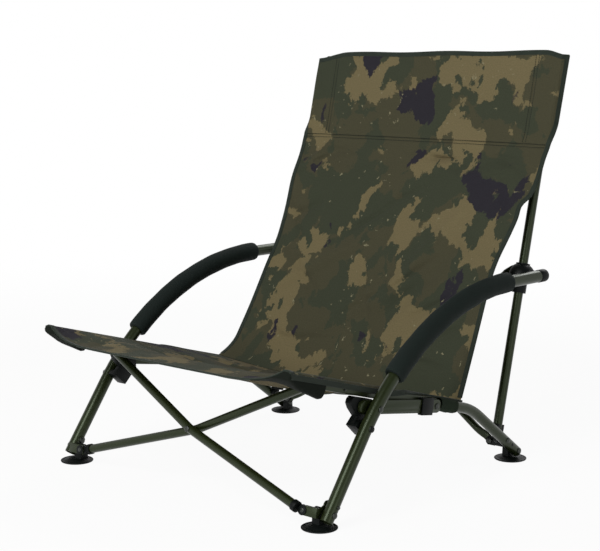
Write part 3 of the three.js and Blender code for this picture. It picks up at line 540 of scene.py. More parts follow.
# Front brace cross
# Two steel tubes, slightly bent where they cross, run from a clevis at each front foot to the rail on
# the other side. Plastic fittings hold their ends, and one rivet joins them at the crossing.
def plane_of(hub, aim):
    """The leaning plane of a cross: the way up it, the way out of its front, and its reach."""
    rise = Vector((0, aim[0] - hub[0], aim[1] - hub[1]))
    length = rise.length
    rise.normalize()
    return rise, across.cross(rise), length


front_hub = (-0.00791, 0.02699)
tip_along_rail = 0.110
tip_side = 0.252
cross_height = 0.109
front_rise, front_face, front_reach = plane_of(front_hub, rail_point(tip_along_rail))
cross_up = (cross_height - front_hub[1]) / front_rise.z
front_cross = spot(0, front_hub[0] + front_rise.y * cross_up, cross_height)
brace_hub = 0.275
brace_radius = 0.00775
brace_wall = 0.0012
brace_layer = 0.00805
brace_past_hub = 0.0123
brace_side = 0.236
brace_bend = 0.09
low_way = Vector((-brace_hub, cross_up)).normalized()
high_way = Vector((-tip_side, front_reach - cross_up)).normalized()


def front_brace_path(sign, layer):
    """The brace's centre line in the plane of the cross, which bends where the two tubes meet."""
    start = Vector((brace_hub, -cross_up)) + low_way * brace_past_hub
    end = high_way * (brace_side / abs(high_way.x))
    turn = low_way.angle(high_way)
    tangent = brace_bend * math.tan(turn / 2)
    centre = -low_way * tangent + Vector((low_way.y, -low_way.x)) * brace_bend
    first = math.atan2(low_way.y, low_way.x)
    flat_points = [start]
    steps = 6
    for i in range(steps + 1):
        angle = first - turn * i / steps
        flat_points.append(centre + Vector((-math.sin(angle), math.cos(angle))) * brace_bend)
    flat_points.append(end)
    return [front_cross + across * (sign * p.x) + front_rise * p.y + front_face * layer for p in flat_points]


for side_name, sign in sides_of_chair:
    path = front_brace_path(sign, sign * brace_layer)
    made = piece(f"{side_name}_front_brace_steel", *tube(path, front_face, brace_radius, brace_wall), coat)
    settle(made, f"{side_name}_front_brace", "frame", f"{side_name}_front_brace_tube")


# Rear brace cross
# Two straight steel tubes tie the rear legs to the sliders behind the back. Their ends are pressed
# flat for the pins, and one rivet joins them where they cross.
rear_hub = (0.53109, 0.03432)
rear_tip = (0.59111, 0.35002)
rear_rise, rear_face, rear_reach = plane_of(rear_hub, rear_tip)
rear_cross = spot(0, (rear_hub[0] + rear_tip[0]) / 2, (rear_hub[1] + rear_tip[1]) / 2)
back_hub = 0.2559
back_radius = 0.007
back_layer = 0.0073
eye_radius = 0.0074
eye_half = 0.00245
neck = ((0.0135, eye_radius, eye_half, 0.0), (0.0195, 0.0078, 0.0034, 0.3), (0.026, 0.0074, 0.0052, 0.75),
        (0.034, back_radius, back_radius, 1.0))


def back_brace(sign, layer, sides=28):
    """Sections of the brace: a flat round eye, a neck that opens into the tube, and the same at the top."""
    low = Vector((back_hub, -rear_reach / 2))
    high = Vector((-back_hub, rear_reach / 2))
    way = (high - low).normalized()
    length = (high - low).length
    stations = []
    eye_steps = 8
    for i in range(eye_steps + 1):
        angle = math.pi / 2 * i / eye_steps
        stations.append((-eye_radius * math.cos(angle), eye_radius * math.sin(angle), eye_half, 0.0))
    stations += neck
    stations += [(length / 2 * i / 4, back_radius, back_radius, 1.0) for i in (1, 2, 3, 4)]
    stations += [(length - at, wide, thick, out) for at, wide, thick, out in reversed(stations[:-1])]
    points = []
    along = across * (sign * way.x) + rear_rise * way.y
    side = rear_face.cross(along).normalized()
    for at, wide, thick, out in stations:
        flat_point = low + way * at
        centre = (rear_cross + across * (sign * flat_point.x) + rear_rise * flat_point.y
                  + rear_face * (layer * out))
        points += ring(centre, along, side, max(wide, 0.00001), thick, sides)
    faces = skin_faces(len(stations), sides, looped=False)
    last = (len(stations) - 1) * sides
    faces += [tuple(range(sides)), tuple(range(last, last + sides))]
    return points, faces


for side_name, sign in sides_of_chair:
    made = piece(f"{side_name}_back_brace_steel", *back_brace(sign, sign * back_layer), coat)
    settle(made, f"{side_name}_back_brace", "frame", f"{side_name}_back_brace_tube")


# Pressed and moulded fittings
# The front clevises and the links are pressed steel with the olive coat. The clips, sockets, sliders,
# stop brackets and rear clevises are moulded nylon. All have slightly rounded edges.
def made_plain(made):
    """Turns what an object's modifiers make into its own plain mesh."""
    plain = bpy.data.meshes.new_from_object(made.evaluated_get(bpy.context.evaluated_depsgraph_get()))
    made.modifiers.clear()
    made.data = plain
    return made


def eased(node, name, width, material, segments=2):
    """A plain solid with its edges rounded by a width."""
    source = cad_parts[node]
    mesh = source.data.copy()
    mesh.name = name
    work = bmesh.new()
    work.from_mesh(mesh)
    bmesh.ops.remove_doubles(work, verts=work.verts, dist=1e-6)
    bmesh.ops.dissolve_limit(work, angle_limit=math.radians(2), verts=work.verts, edges=work.edges)
    work.to_mesh(mesh)
    work.free()
    mesh.materials.clear()
    mesh.materials.append(material)
    made = bpy.data.objects.new(name, mesh)
    bpy.context.scene.collection.objects.link(made)
    bevel = made.modifiers.new("edges", "BEVEL")
    bevel.width = width
    bevel.segments = segments
    bevel.limit_method = "ANGLE"
    bevel.angle_limit = math.radians(40)
    made_plain(made).data.shade_smooth()
    made.data.set_sharp_from_angle(angle=math.radians(42))
    return made


fittings = (
    ("front_clevis", "front_clevis", "frame", 0.0006, coat),
    ("front_brace_socket", "front_brace", "plastic", 0.0008, moulded),
    ("front_brace_tip", "front_brace", "plastic", 0.0008, moulded),
    ("under_seat_bracket", "side", "plastic", 0.0028, moulded),
    ("link_bar", "link", "frame", 0.001, coat),
    ("link_clip", "link", "plastic", 0.001, moulded),
    ("pole_socket", "pole", "plastic", 0.0008, moulded),
    ("arm_slider", "slider", "plastic", 0.0012, moulded),
    ("rear_clevis", "rear_clevis", "plastic", 0.0006, moulded),
)
for side_name, sign in sides_of_chair:
    for node, body, slot, width, material in fittings:
        made = eased(f"{side_name}_{node}", f"{side_name}_{node}_made", width, material)
        settle(made, f"{side_name}_{body}", slot, f"{side_name}_{node}")


# Mud feet
# Each foot is a round moulded dish with a raised ring and one ear. It tilts on the rivet through its
# ear, so that it lies flat on a bank.
rubbery = finish("black_foot", linear(12, 16, 15), variation=0.14, variation_scale=90, grain_scale=800,
                 grain_depth=0.0002, roughness=0.42, roughness_spread=0.25, specular=0.15)
dish_profile = ((0.0, 0.0), (0.0, 0.0278), (0.0006, 0.0292), (0.0016, 0.02995), (0.0028, 0.02985),
                (0.0034, 0.0290), (0.0036, 0.0272), (0.0030, 0.0262), (0.0030, 0.0236), (0.0036, 0.0226),
                (0.0042, 0.0206), (0.0052, 0.0184), (0.0058, 0.0168), (0.0060, 0.0140), (0.0060, 0.0))
ear_foot = 0.003
ear_waist = 0.008
ear_foot_share = 1.18
ear_waist_share = 1.1
ear_easing = 0.0009


def ear(pivot, radius, from_x, to_x, sides=20):
    """The ear of a foot: straight sides up from the dish and a round top, with eased edges."""
    foot_half = radius * ear_foot_share
    waist_half = radius * ear_waist_share
    outline = [(pivot[0] + foot_half, ear_foot), (pivot[0] + waist_half, ear_waist)]
    for i in range(sides + 1):
        angle = math.pi * i / sides
        outline.append((pivot[0] + radius * math.cos(angle), pivot[1] + radius * math.sin(angle)))
    outline += [(pivot[0] - waist_half, ear_waist), (pivot[0] - foot_half, ear_foot)]
    middle = (pivot[0], pivot[1] / 2)
    inset = ear_easing if to_x > from_x else -ear_easing
    points = []
    stations = ((from_x, 0.0), (from_x, 0.93), (from_x + inset * 0.3, 0.98), (from_x + inset, 1.0),
                (to_x - inset, 1.0), (to_x - inset * 0.3, 0.98), (to_x, 0.93), (to_x, 0.0))
    for x, scale in stations:
        points += [spot(x, middle[0] + (y - middle[0]) * scale, middle[1] + (z - middle[1]) * scale)
                   for y, z in outline]
    return points, skin_faces(len(stations), len(outline), looped=False)


mud_feet = (
    {"end": "front", "pivot": (0.00601, 0.024798), "ear": (0.0082, 0.286, 0.3019), "dish": (0.300, 0.0)},
    {"end": "rear", "pivot": (0.5524, 0.018725), "ear": (0.0075, 0.272, 0.2852), "dish": (0.2852, 0.5524)},
)
for side_name, sign in sides_of_chair:
    for foot in mud_feet:
        dish_x, dish_y = foot["dish"]
        radius, from_x, to_x = foot["ear"]
        dish = turned(dish_profile, spot(sign * dish_x, dish_y, 0), Vector((0, 0, 1)), across, 48)
        lug = ear(foot["pivot"], radius, sign * from_x, sign * to_x)
        name = f"{side_name}_{foot['end']}"
        settle(piece(f"{name}_mud_foot", *together(dish, lug), rubbery), f"{name}_foot", "rubber",
               f"{name}_foot")


# Rivets and pins
# Every joint turns on a dark zinc-plated rivet with low domed heads. One tree draws the shank along
# each pin and sets a head on each marked end. Each front clevis also has a black washer under its pin.
zinc = finish("dark_zinc", linear(58, 61, 57), variation=0.15, variation_scale=120, grain_scale=1500,
              grain_depth=0.00008, roughness=0.28, roughness_spread=0.2, metallic=0.75)


dome_profile = ((0.0, 0.0), (0.0, 1.0), (0.25, 1.0), (0.55, 0.88), (0.8, 0.62), (0.94, 0.32), (1.0, 0.0))
dome_mesh = closed_mesh("rivet_dome", *turned(dome_profile, Vector(), Vector((0, 0, 1)), across, 20), 50)
dome = bpy.data.objects.new("rivet_dome", dome_mesh)


def repeating_tree(name, source, sizes, result):
    """An empty tree with a named input for what it follows, for each size and for the finish."""
    tree = bpy.data.node_groups.new(name, "GeometryNodeTree")
    sockets = tree.interface
    sockets.new_socket(source, in_out="INPUT", socket_type="NodeSocketGeometry")
    for label in sizes:
        sockets.new_socket(label, in_out="INPUT", socket_type="NodeSocketFloat")
    sockets.new_socket("Finish", in_out="INPUT", socket_type="NodeSocketMaterial")
    sockets.new_socket(result, in_out="OUTPUT", socket_type="NodeSocketGeometry")
    given = add_node(tree, "NodeGroupInput")
    lines = add_node(tree, "GeometryNodeMeshToCurve", {}, {"Mesh": given.outputs[source]})
    return tree, given, lines


def end_tree(tree, given, shapes):
    """Ends a tree with real geometry that has the finish."""
    real = add_node(tree, "GeometryNodeRealizeInstances", {}, {0: shapes})
    painted = add_node(tree, "GeometryNodeSetMaterial", {}, {"Geometry": real.outputs[0],
                                                            "Material": given.outputs["Finish"]})
    add_node(tree, "NodeGroupOutput", {}, {0: painted.outputs[0]})


def rivet_tree():
    """The tree that makes a shank along each line, and a domed head at each end that has one."""
    tree, given, lines = repeating_tree("rivets_along_pins", "Pins",
                                        ("Shank Radius", "Head Radius", "Head Height"), "Rivets")
    round_section = add_node(tree, "GeometryNodeCurvePrimitiveCircle", {"Resolution": 16},
                             {"Radius": given.outputs["Shank Radius"]})
    shanks = add_node(tree, "GeometryNodeCurveToMesh", {"Fill Caps": True},
                      {"Curve": lines.outputs[0], "Profile Curve": round_section.outputs[0]})
    outward = add_node(tree, "GeometryNodeInputNamedAttribute", {"Name": "outward"}, data_type="FLOAT_VECTOR")
    headed = add_node(tree, "GeometryNodeInputNamedAttribute", {"Name": "headed"}, data_type="FLOAT")
    turn = add_node(tree, "FunctionNodeAlignRotationToVector", {}, {"Vector": outward.outputs[0]}, axis="Z")
    head = add_node(tree, "GeometryNodeObjectInfo", {"Object": dome})
    size = add_node(tree, "ShaderNodeCombineXYZ", {}, {0: given.outputs["Head Radius"],
                                                       1: given.outputs["Head Radius"],
                                                       2: given.outputs["Head Height"]})
    marked = add_node(tree, "FunctionNodeCompare", {"B": 0.5}, {"A": headed.outputs[0]},
                      data_type="FLOAT", operation="GREATER_THAN")
    heads = add_node(tree, "GeometryNodeInstanceOnPoints", {},
                     {"Points": given.outputs["Pins"], "Selection": marked.outputs[0],
                      "Instance": head.outputs["Geometry"], "Rotation": turn.outputs[0],
                      "Scale": size.outputs[0]})
    joined = add_node(tree, "GeometryNodeJoinGeometry", {})
    tree.links.new(heads.outputs[0], joined.inputs[0])
    tree.links.new(shanks.outputs[0], joined.inputs[0])
    end_tree(tree, given, joined.outputs[0])
    return tree


rivets_along_pins = rivet_tree()


def set_inputs(modifier, **values):
    """Sets a tree's named inputs on its modifier, by the sockets' own identifiers."""
    names = {item.name.replace(" ", "_").lower(): item.identifier
             for item in modifier.node_group.interface.items_tree if item.in_out == "INPUT"}
    for name, value in values.items():
        modifier[names[name]] = value


def grown(name, mesh, tree, **values):
    """A plain mesh from a tree of geometry nodes, with no modifier left on it."""
    seed = bpy.data.objects.new(name, mesh)
    bpy.context.scene.collection.objects.link(seed)
    modifier = seed.modifiers.new("growth", "NODES")
    modifier.node_group = tree
    set_inputs(modifier, **values)
    return made_plain(seed)


def pin_lines(pins):
    """An edge for each pin, from its start to its end, with a mark for a head on each."""
    mesh = bpy.data.meshes.new("pins")
    points = []
    outward = []
    headed = []
    for start, end, start_head, end_head in pins:
        way = (end - start).normalized()
        points += [tuple(start), tuple(end)]
        outward += [*(-way), *way]
        headed += [float(start_head), float(end_head)]
    mesh.from_pydata(points, [(2 * i, 2 * i + 1) for i in range(len(pins))], [])
    mesh.attributes.new("outward", "FLOAT_VECTOR", "POINT").data.foreach_set("vector", outward)
    mesh.attributes.new("headed", "FLOAT", "POINT").data.foreach_set("value", headed)
    return mesh


pin_sizes = {"shank_radius": 0.0028, "head_radius": 0.0055, "head_height": 0.0021}
stud_sizes = {"shank_radius": 0.0015, "head_radius": 0.0028, "head_height": 0.0013}
head_room = 0.002


def riveted(name, body, pins, nodes=(), sizes=pin_sizes):
    """The rivets of one body as one piece, which stands for the solids of its pins."""
    made = grown(name, pin_lines(pins), rivets_along_pins, finish=zinc, **sizes)
    settle(made, body, "rivet", *nodes)


def cross_pin(node, sign, inner_head, outer_head):
    """A pin across the chair, from its inner end to its outer end."""
    low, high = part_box(node)
    middle = (low + high) / 2
    inner, outer = (low.x, high.x) if sign > 0 else (high.x, low.x)
    start = Vector((inner + (sign * head_room if inner_head else 0), middle.y, middle.z))
    end = Vector((outer - (sign * head_room if outer_head else 0), middle.y, middle.z))
    return start, end, inner_head, outer_head


def face_pin(node, face, half):
    """A pin square to the plane of a cross, with a head at both ends."""
    low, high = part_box(node)
    middle = (low + high) / 2
    return middle - face * half, middle + face * half, True, True


def side_stud(sign, from_x, to_x, place):
    """A short rivet with its head on the outer side."""
    return spot(sign * from_x, *place), spot(sign * to_x, *place), False, True


cheek_half = 0.0056
bracket_rivet = arm_point(0.167)
bracket_rivet_sides = (0.3245, 0.3272)
rail_stud = rail_point(0.138, -0.0042)
rail_stud_sides = (0.2945, 0.2976)
for side_name, sign in sides_of_chair:
    bodies = {
        "side": [("front_foot_pin", True, True), ("front_clevis_rivet", True, False),
                 ("link_bolt", False, True), ("slider_pin", False, False)],
        "link": [("link_rivet", True, False)],
        "rail": [("rear_foot_pin", True, True), ("socket_pin", True, True)],
    }
    for body, pins in bodies.items():
        nodes = [f"{side_name}_{node}" for node, _, _ in pins]
        lines = [cross_pin(f"{side_name}_{node}", sign, inner, outer) for node, inner, outer in pins]
        if body == "link":
            # Its outer head stands on the end of the shank.
            lines = [(start, end, True, True) for start, end, _, _ in lines]
        if body == "side":
            lines.append(side_stud(sign, *bracket_rivet_sides, bracket_rivet))
        riveted(f"{side_name}_{body}_rivets", f"{side_name}_{body}", lines, nodes)
    riveted(f"{side_name}_rail_stud", f"{side_name}_rail", [side_stud(sign, *rail_stud_sides, rail_stud)],
            sizes=stud_sizes)
    for end_name, face in (("front", front_face), ("rear", rear_face)):
        node = f"{side_name}_{end_name}_brace_pin"
        riveted(f"{side_name}_{end_name}_clevis_pin", f"{side_name}_{end_name}_clevis",
                [face_pin(node, face, cheek_half)], [node])

washer_profile = ((0.0054, 0.0), (0.0054, 0.0082), (0.0058, 0.0086), (0.0068, 0.0084), (0.0071, 0.0072),
                  (0.0071, 0.0))
for side_name, sign in sides_of_chair:
    low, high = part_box(f"{side_name}_front_brace_pin")
    washer = turned(washer_profile, (low + high) / 2, front_face, across, 28)
    settle(piece(f"{side_name}_clevis_washer", *washer, moulded), f"{side_name}_front_clevis", "plastic")

front_cross_half = 0.0161
riveted("front_crossing_rivet", "left_front_brace",
        [face_pin("front_cross_rivet", front_face, front_cross_half)], ["front_cross_rivet"])
cross_low = rear_cross + rear_face * 0.0003
cross_high = rear_cross + rear_face * 0.0146
riveted("back_crossing_rivet", "left_back_brace",
        [(cross_low, cross_high, False, True)], ["back_cross_rivet"])


# Seat sling
# One panel of woven polyester in a printed woodland camouflage hangs between the rails. It lies over
# the rails at its edges, sags between them and is bound in dark green tape.
def camo_group():
    """A generic woodland print with ragged patches and small flecks, and the height of its weave."""
    group = bpy.data.node_groups.new("woodland_print", "ShaderNodeTree")
    sockets = group.interface
    for label in ("Base", "Brown", "Tan", "Dark", "Fleck"):
        sockets.new_socket(label, in_out="INPUT", socket_type="NodeSocketColor")
    for label in ("Shift", "Patch Scale", "Weave Pitch"):
        sockets.new_socket(label, in_out="INPUT", socket_type="NodeSocketFloat")
    sockets.new_socket("Colour", in_out="OUTPUT", socket_type="NodeSocketColor")
    sockets.new_socket("Weave", in_out="OUTPUT", socket_type="NodeSocketFloat")
    given = add_node(group, "NodeGroupInput")
    cloth = add_node(group, "ShaderNodeTexCoord")
    away = add_node(group, "ShaderNodeCombineXYZ", {}, {2: given.outputs["Shift"]})
    moved = add_node(group, "ShaderNodeVectorMath", {}, {0: cloth.outputs["UV"], 1: away.outputs[0]},
                     operation="ADD")
    leaning = add_node(group, "ShaderNodeMapping", {"Rotation": (0, 0, 0.65), "Scale": (1.12, 0.92, 1.0)},
                       {"Vector": moved.outputs[0]})
    ragged = add_node(group, "ShaderNodeTexNoise", {"Scale": 34.0, "Detail": 6.0, "Roughness": 0.72},
                      {"Vector": leaning.outputs[0]}, noise_dimensions="3D")
    tear = 0.021
    loosened = add_node(group, "ShaderNodeMapRange",
                        {7: (0.0, 0.0, 0.0), 8: (1.0, 1.0, 1.0), 9: (-tear, -tear, -tear),
                         10: (tear, tear, tear)},
                        {6: ragged.outputs["Color"]}, data_type="FLOAT_VECTOR")
    torn = add_node(group, "ShaderNodeVectorMath", {}, {0: leaning.outputs[0], 1: loosened.outputs[1]},
                    operation="ADD")

    def laid_over(under, over, mask):
        """The colour over the one below it, where its mask is set."""
        return add_node(group, "ShaderNodeMix", {}, {0: mask, 6: under, 7: over}, data_type="RGBA").outputs[2]

    def patch(under, over, drift, scale, level, stretch, softness=0.004):
        """Lays one colour of the print over the ones below it, where its own slow noise is high."""
        placed = add_node(group, "ShaderNodeMapping", {"Location": (drift, drift * 1.7, drift * 0.6),
                                                       "Scale": stretch}, {"Vector": torn.outputs[0]})
        sized = worked(group, "MULTIPLY", given.outputs["Patch Scale"], scale)
        field = add_node(group, "ShaderNodeTexNoise", {"Detail": 2.5, "Roughness": 0.5, "Distortion": 0.35},
                         {"Vector": placed.outputs[0], "Scale": sized})
        mask = ranged(group, field.outputs[0], level - softness, level + softness, 0.0, 1.0)
        return laid_over(under, over, mask)

    colour = given.outputs["Base"]
    colour = patch(colour, given.outputs["Brown"], 3.1, 1.0, 0.5, (1, 1, 1))
    colour = patch(colour, given.outputs["Tan"], 7.7, 1.15, 0.55, (1, 1, 1))
    colour = patch(colour, given.outputs["Base"], 12.3, 1.9, 0.60, (1, 1, 1))
    colour = patch(colour, given.outputs["Dark"], 19.9, 0.92, 0.645, (1.1, 0.9, 1))
    cells = add_node(group, "ShaderNodeTexVoronoi", {"Scale": 82.0, "Randomness": 1.0},
                     {"Vector": torn.outputs[0]})
    spots = ranged(group, cells.outputs["Distance"], 0.2, 0.14, 0.0, 1.0, "LINEAR")
    parts = add_node(group, "ShaderNodeSeparateColor", {}, {0: cells.outputs["Color"]})
    few = worked(group, "GREATER_THAN", parts.outputs[0], 0.72)
    zone = add_node(group, "ShaderNodeTexNoise", {"Scale": 8.0, "Detail": 1.0}, {"Vector": torn.outputs[0]})
    zoned = worked(group, "GREATER_THAN", zone.outputs[0], 0.5)
    flecks = worked(group, "MULTIPLY", worked(group, "MULTIPLY", spots, few), zoned)
    colour = laid_over(colour, given.outputs["Fleck"], flecks)
    pitch = worked(group, "DIVIDE", math.tau, given.outputs["Weave Pitch"])
    axes = add_node(group, "ShaderNodeSeparateXYZ", {}, {0: cloth.outputs["UV"]})
    warp = add_node(group, "ShaderNodeMath", {}, {0: worked(group, "MULTIPLY", axes.outputs[0], pitch)},
                    operation="SINE")
    weft = add_node(group, "ShaderNodeMath", {}, {0: worked(group, "MULTIPLY", axes.outputs[1], pitch)},
                    operation="SINE")
    weave = worked(group, "MULTIPLY", warp.outputs[0], weft.outputs[0])
    slub = add_node(group, "ShaderNodeTexNoise", {"Scale": 420.0, "Detail": 2.0},
                    {"Vector": cloth.outputs["UV"]})
    shade = ranged(group, slub.outputs[0], 0.25, 0.75, 0.86, 1.14, "LINEAR")
    toned = add_node(group, "ShaderNodeVectorMath", {}, {0: colour, "Scale": shade}, operation="SCALE")
    add_node(group, "NodeGroupOutput", {}, {"Colour": toned.outputs[0], "Weave": weave})
    return group


woodland_print = camo_group()


def camo_cloth(name, shift):
    """The printed cloth. The shift moves to another part of the print."""
    material = bpy.data.materials.new(name)
    material.use_nodes = True
    tree = material.node_tree
    shader = tree.nodes["Principled BSDF"]
    shader.inputs["Roughness"].default_value = 0.86
    shader.inputs["Specular IOR Level"].default_value = 0.14
    shader.inputs["Sheen Weight"].default_value = 0.03
    shader.inputs["Sheen Roughness"].default_value = 0.5
    look = add_node(tree, "ShaderNodeGroup", node_tree=woodland_print)
    for label, value in (("Base", linear(57, 61, 47)), ("Brown", linear(68, 66, 49)),
                         ("Tan", linear(108, 98, 70)), ("Dark", linear(40, 38, 44)),
                         ("Fleck", linear(130, 125, 98)), ("Shift", shift),
                         ("Patch Scale", 8.5), ("Weave Pitch", 0.0013)):
        look.inputs[label].default_value = value
    bump = add_node(tree, "ShaderNodeBump", {"Distance": 0.00012, "Strength": 0.5},
                    {"Height": look.outputs["Weave"]})
    tree.links.new(look.outputs["Colour"], shader.inputs["Base Color"])
    tree.links.new(bump.outputs[0], shader.inputs["Normal"])
    return material


seat_print = camo_cloth("seat_camouflage", 0.0)
sling_half = 0.291
hang_half = 0.2852
rail_edge = 0.2983
hem_fold = 0.0095
hem_gathered = 0.0045
edge_rounding = 0.0022
edge_turn = 0.005
cloth_thickness = 0.0016
seat_start = -0.002
seat_end = 0.466
seat_rest = 0.0098
seat_rear_lift = 0.0013


def smooth(value, low, high):
    """A soft step from 0 at low to 1 at high."""
    share = min(max((value - low) / (high - low), 0.0), 1.0)
    return share * share * (3 - 2 * share)


def along_stops(value, stops):
    """A smooth curve through stops of place and height."""
    if value <= stops[0][0]:
        return stops[0][1]
    for (low, first), (high, second) in zip(stops, stops[1:]):
        if value <= high:
            return first + (second - first) * smooth(value, low, high)
    return stops[-1][1]


def crease_depth(x, along, creases):
    """How far the cloth dips at a place, from creases with a start, an end, a width and a depth."""
    total = 0.0
    for x0, a0, x1, a1, width, depth in creases:
        dx, da = x1 - x0, a1 - a0
        length = dx * dx + da * da
        share = ((x - x0) * dx + (along - a0) * da) / length
        held = min(max(share, 0.0), 1.0)
        off = math.hypot(x - x0 - dx * held, along - a0 - da * held)
        fade = math.sin(math.pi * min(max(share * 0.86 + 0.07, 0.0), 1.0))
        total += depth * math.exp(-(off / width) ** 2) * fade
    return total


seat_sags = ((seat_start, 0.029), (0.110, 0.016), (0.232, 0.036), (seat_end, 0.012))
sag_power = 2.2
front_powers = {1: 6.5, -1: 10.0}
seat_creases = (
    (0.16, 0.02, 0.24, 0.20, 0.012, 0.004), (-0.2, 0.01, -0.25, 0.16, 0.012, 0.004),
    (0.05, 0.42, 0.22, 0.36, 0.010, 0.003), (-0.18, 0.43, 0.02, 0.40, 0.010, 0.003),
    (0.10, 0.10, 0.2, 0.33, 0.02, 0.003), (-0.12, 0.08, -0.05, 0.3, 0.024, 0.003),
    (-0.27, 0.19, -0.12, 0.25, 0.009, 0.004), (-0.27, 0.28, -0.1, 0.30, 0.009, 0.005),
    (-0.26, 0.36, -0.05, 0.37, 0.010, 0.005), (0.02, 0.33, 0.26, 0.30, 0.010, 0.004),
    (0.08, 0.22, 0.27, 0.25, 0.009, 0.004),
)


def seat_edge(along):
    """Half the width of the seat's cloth: past the rail's outer edge, with a hem that folds down it."""
    return rail_edge + hem_fold * (1 - smooth(along, 0.24, 0.32)) - hem_gathered * smooth(along, 0.28, 0.36)


def seat_place(across_share, along):
    """A point of the middle of the seat's cloth: between the rails it sags, and past them it turns down."""
    out = across_share * seat_edge(along)
    sign = 1 if out > 0 else -1
    x = sign * min(abs(out), rail_edge)
    folded = max(abs(out) - rail_edge, 0.0)
    y, z = rail_point(along, seat_rest + seat_rear_lift * (along - seat_start) / (seat_end - seat_start))
    spanned = min(abs(x) / hang_half, 1.0)
    power = sag_power + (front_powers[sign] - sag_power) * (1 - smooth(along, seat_start, 0.11))
    sag = along_stops(along, seat_sags) * (1 - spanned ** power)
    sag += crease_depth(x, along, seat_creases) * (1 - spanned ** 6)
    rounding = edge_rounding * smooth(abs(x), rail_edge - edge_turn, rail_edge)
    return spot(x + sign * 0.0004 * smooth(folded, 0, 0.003), y, z - sag - folded - rounding)


def walled_cloth(name, points, wide, material, thickness, flats=()):
    """A cloth from rows of points, each as wide as the others, with a wall and its flat measures as UV."""
    rows = len(points) // wide
    faces = [(j * wide + i, j * wide + i + 1, (j + 1) * wide + i + 1, (j + 1) * wide + i)
             for j in range(rows - 1) for i in range(wide - 1)]
    mesh = bpy.data.meshes.new(name)
    mesh.from_pydata([tuple(p) for p in points], [], faces)
    if flats:
        layer = mesh.uv_layers.new(name="cloth")
        for loop in mesh.loops:
            layer.data[loop.index].uv = flats[loop.vertex_index]
    mesh.shade_smooth()
    mesh.materials.append(material)
    made = bpy.data.objects.new(name, mesh)
    bpy.context.scene.collection.objects.link(made)
    wall = made.modifiers.new("thickness", "SOLIDIFY")
    wall.thickness = thickness
    wall.offset = 0
    wall.use_even_offset = False
    made_plain(made).data.set_sharp_from_angle(angle=math.radians(60))
    return made


def cloth_sheet(name, columns, rows, place, material, half=1.0):
    """A panel of a sling from its columns across the chair and its rows along the cloth."""
    points = [place(u, v) for v in rows for u in columns]
    flats = [(u * half, v) for v in rows for u in columns]
    return walled_cloth(name, points, len(columns), material, cloth_thickness, flats)


def spread(low, high, count):
    """Places at even steps from low to high, both ends included."""
    return [low + (high - low) * i / count for i in range(count + 1)]


seat_flat_half = 0.3025
seat_columns = [-1 + 2 * i / 110 for i in range(2, 109)]
seat_columns = [-1, -0.995, -0.99, -0.982, -0.975, *seat_columns, 0.975, 0.982, 0.99, 0.995, 1]
seat_cloth = cloth_sheet("seat_cloth", seat_columns, spread(seat_start, seat_end, 90), seat_place, seat_print,
                         seat_flat_half)
settle(seat_cloth, "left_rail", "camo_cloth", "seat_sling")


# Back sling
# The back is a second panel of the same cloth. It rises from the rear of the seat, lies in front of the
# poles and has a headrest panel with a sleeve for the pole at each edge.
back_print = camo_cloth("back_camouflage", 1.7)
back_rise_shares = ((0, 0), (0.17, 0.2), (0.32, 0.36), (0.477, 0.56), (0.595, 0.68), (0.655, 0.775),
                    (0.74, 0.86), (0.85, 0.92), (1, 1))
back_width_shares = ((0, 1), (0.17, 0.965), (0.38, 0.932), (0.59, 1.006), (0.74, 1.045), (1, 1.052))
sleeve_top = 0.7183
sleeve_gap = 0.0019
back_low = rail_point(seat_end, seat_rest + seat_rear_lift)
back_top = (pole_foot[0] + pole_rise[0] * sleeve_top, pole_foot[1] + pole_rise[1] * sleeve_top)
back_high = (back_top[0] - pole_radius - sleeve_gap, back_top[1])
crease_strength = 1.25
back_creases = (
    (-0.28, 0.14, -0.02, 0.30, 0.016, -0.006), (0.0, 0.05, 0.20, 0.30, 0.018, 0.007),
    (0.04, 0.16, 0.16, 0.36, 0.014, -0.006), (-0.2, 0.34, -0.29, 0.30, 0.009, 0.008),
    (0.12, 0.42, 0.27, 0.45, 0.010, -0.006), (0.02, 0.45, 0.1, 0.452, 0.006, 0.005),
    (0.08, 0.435, 0.15, 0.432, 0.006, 0.005), (-0.22, 0.47, -0.285, 0.40, 0.010, -0.008),
    (-0.25, 0.05, -0.05, 0.075, 0.009, 0.006), (0.05, 0.07, 0.25, 0.05, 0.008, 0.006),
    (-0.1, 0.1, 0.12, 0.22, 0.02, -0.005), (0.22, 0.40, 0.288, 0.34, 0.010, 0.008),
    (-0.27, 0.42, -0.19, 0.455, 0.006, 0.006), (-0.285, 0.36, -0.23, 0.27, 0.007, 0.007),
    (-0.25, 0.24, -0.13, 0.15, 0.008, 0.006), (-0.05, 0.24, 0.03, 0.10, 0.007, 0.005),
    (0.10, 0.12, 0.22, 0.19, 0.007, 0.006), (0.17, 0.09, 0.27, 0.14, 0.007, 0.005),
    (-0.06, 0.33, 0.06, 0.40, 0.008, 0.005), (0.16, 0.31, 0.26, 0.25, 0.009, -0.005),
    (-0.27, 0.10, -0.17, 0.06, 0.007, 0.005), (0.2, 0.455, 0.285, 0.43, 0.006, 0.006),
    (-0.01, 0.458, 0.10, 0.449, 0.0045, 0.005), (-0.24, 0.462, -0.14, 0.455, 0.005, 0.004),
    (0.15, 0.463, 0.25, 0.458, 0.005, 0.004), (-0.12, 0.28, -0.02, 0.345, 0.006, 0.006),
    (0.03, 0.16, 0.14, 0.255, 0.006, 0.006), (-0.05, 0.12, 0.05, 0.19, 0.006, 0.005),
)


def straight_between(value, stops):
    """A straight line from each stop to the next."""
    for (low, first), (high, second) in zip(stops, stops[1:]):
        if value <= high or high == 1:
            return first + (second - first) * (value - low) / (high - low)


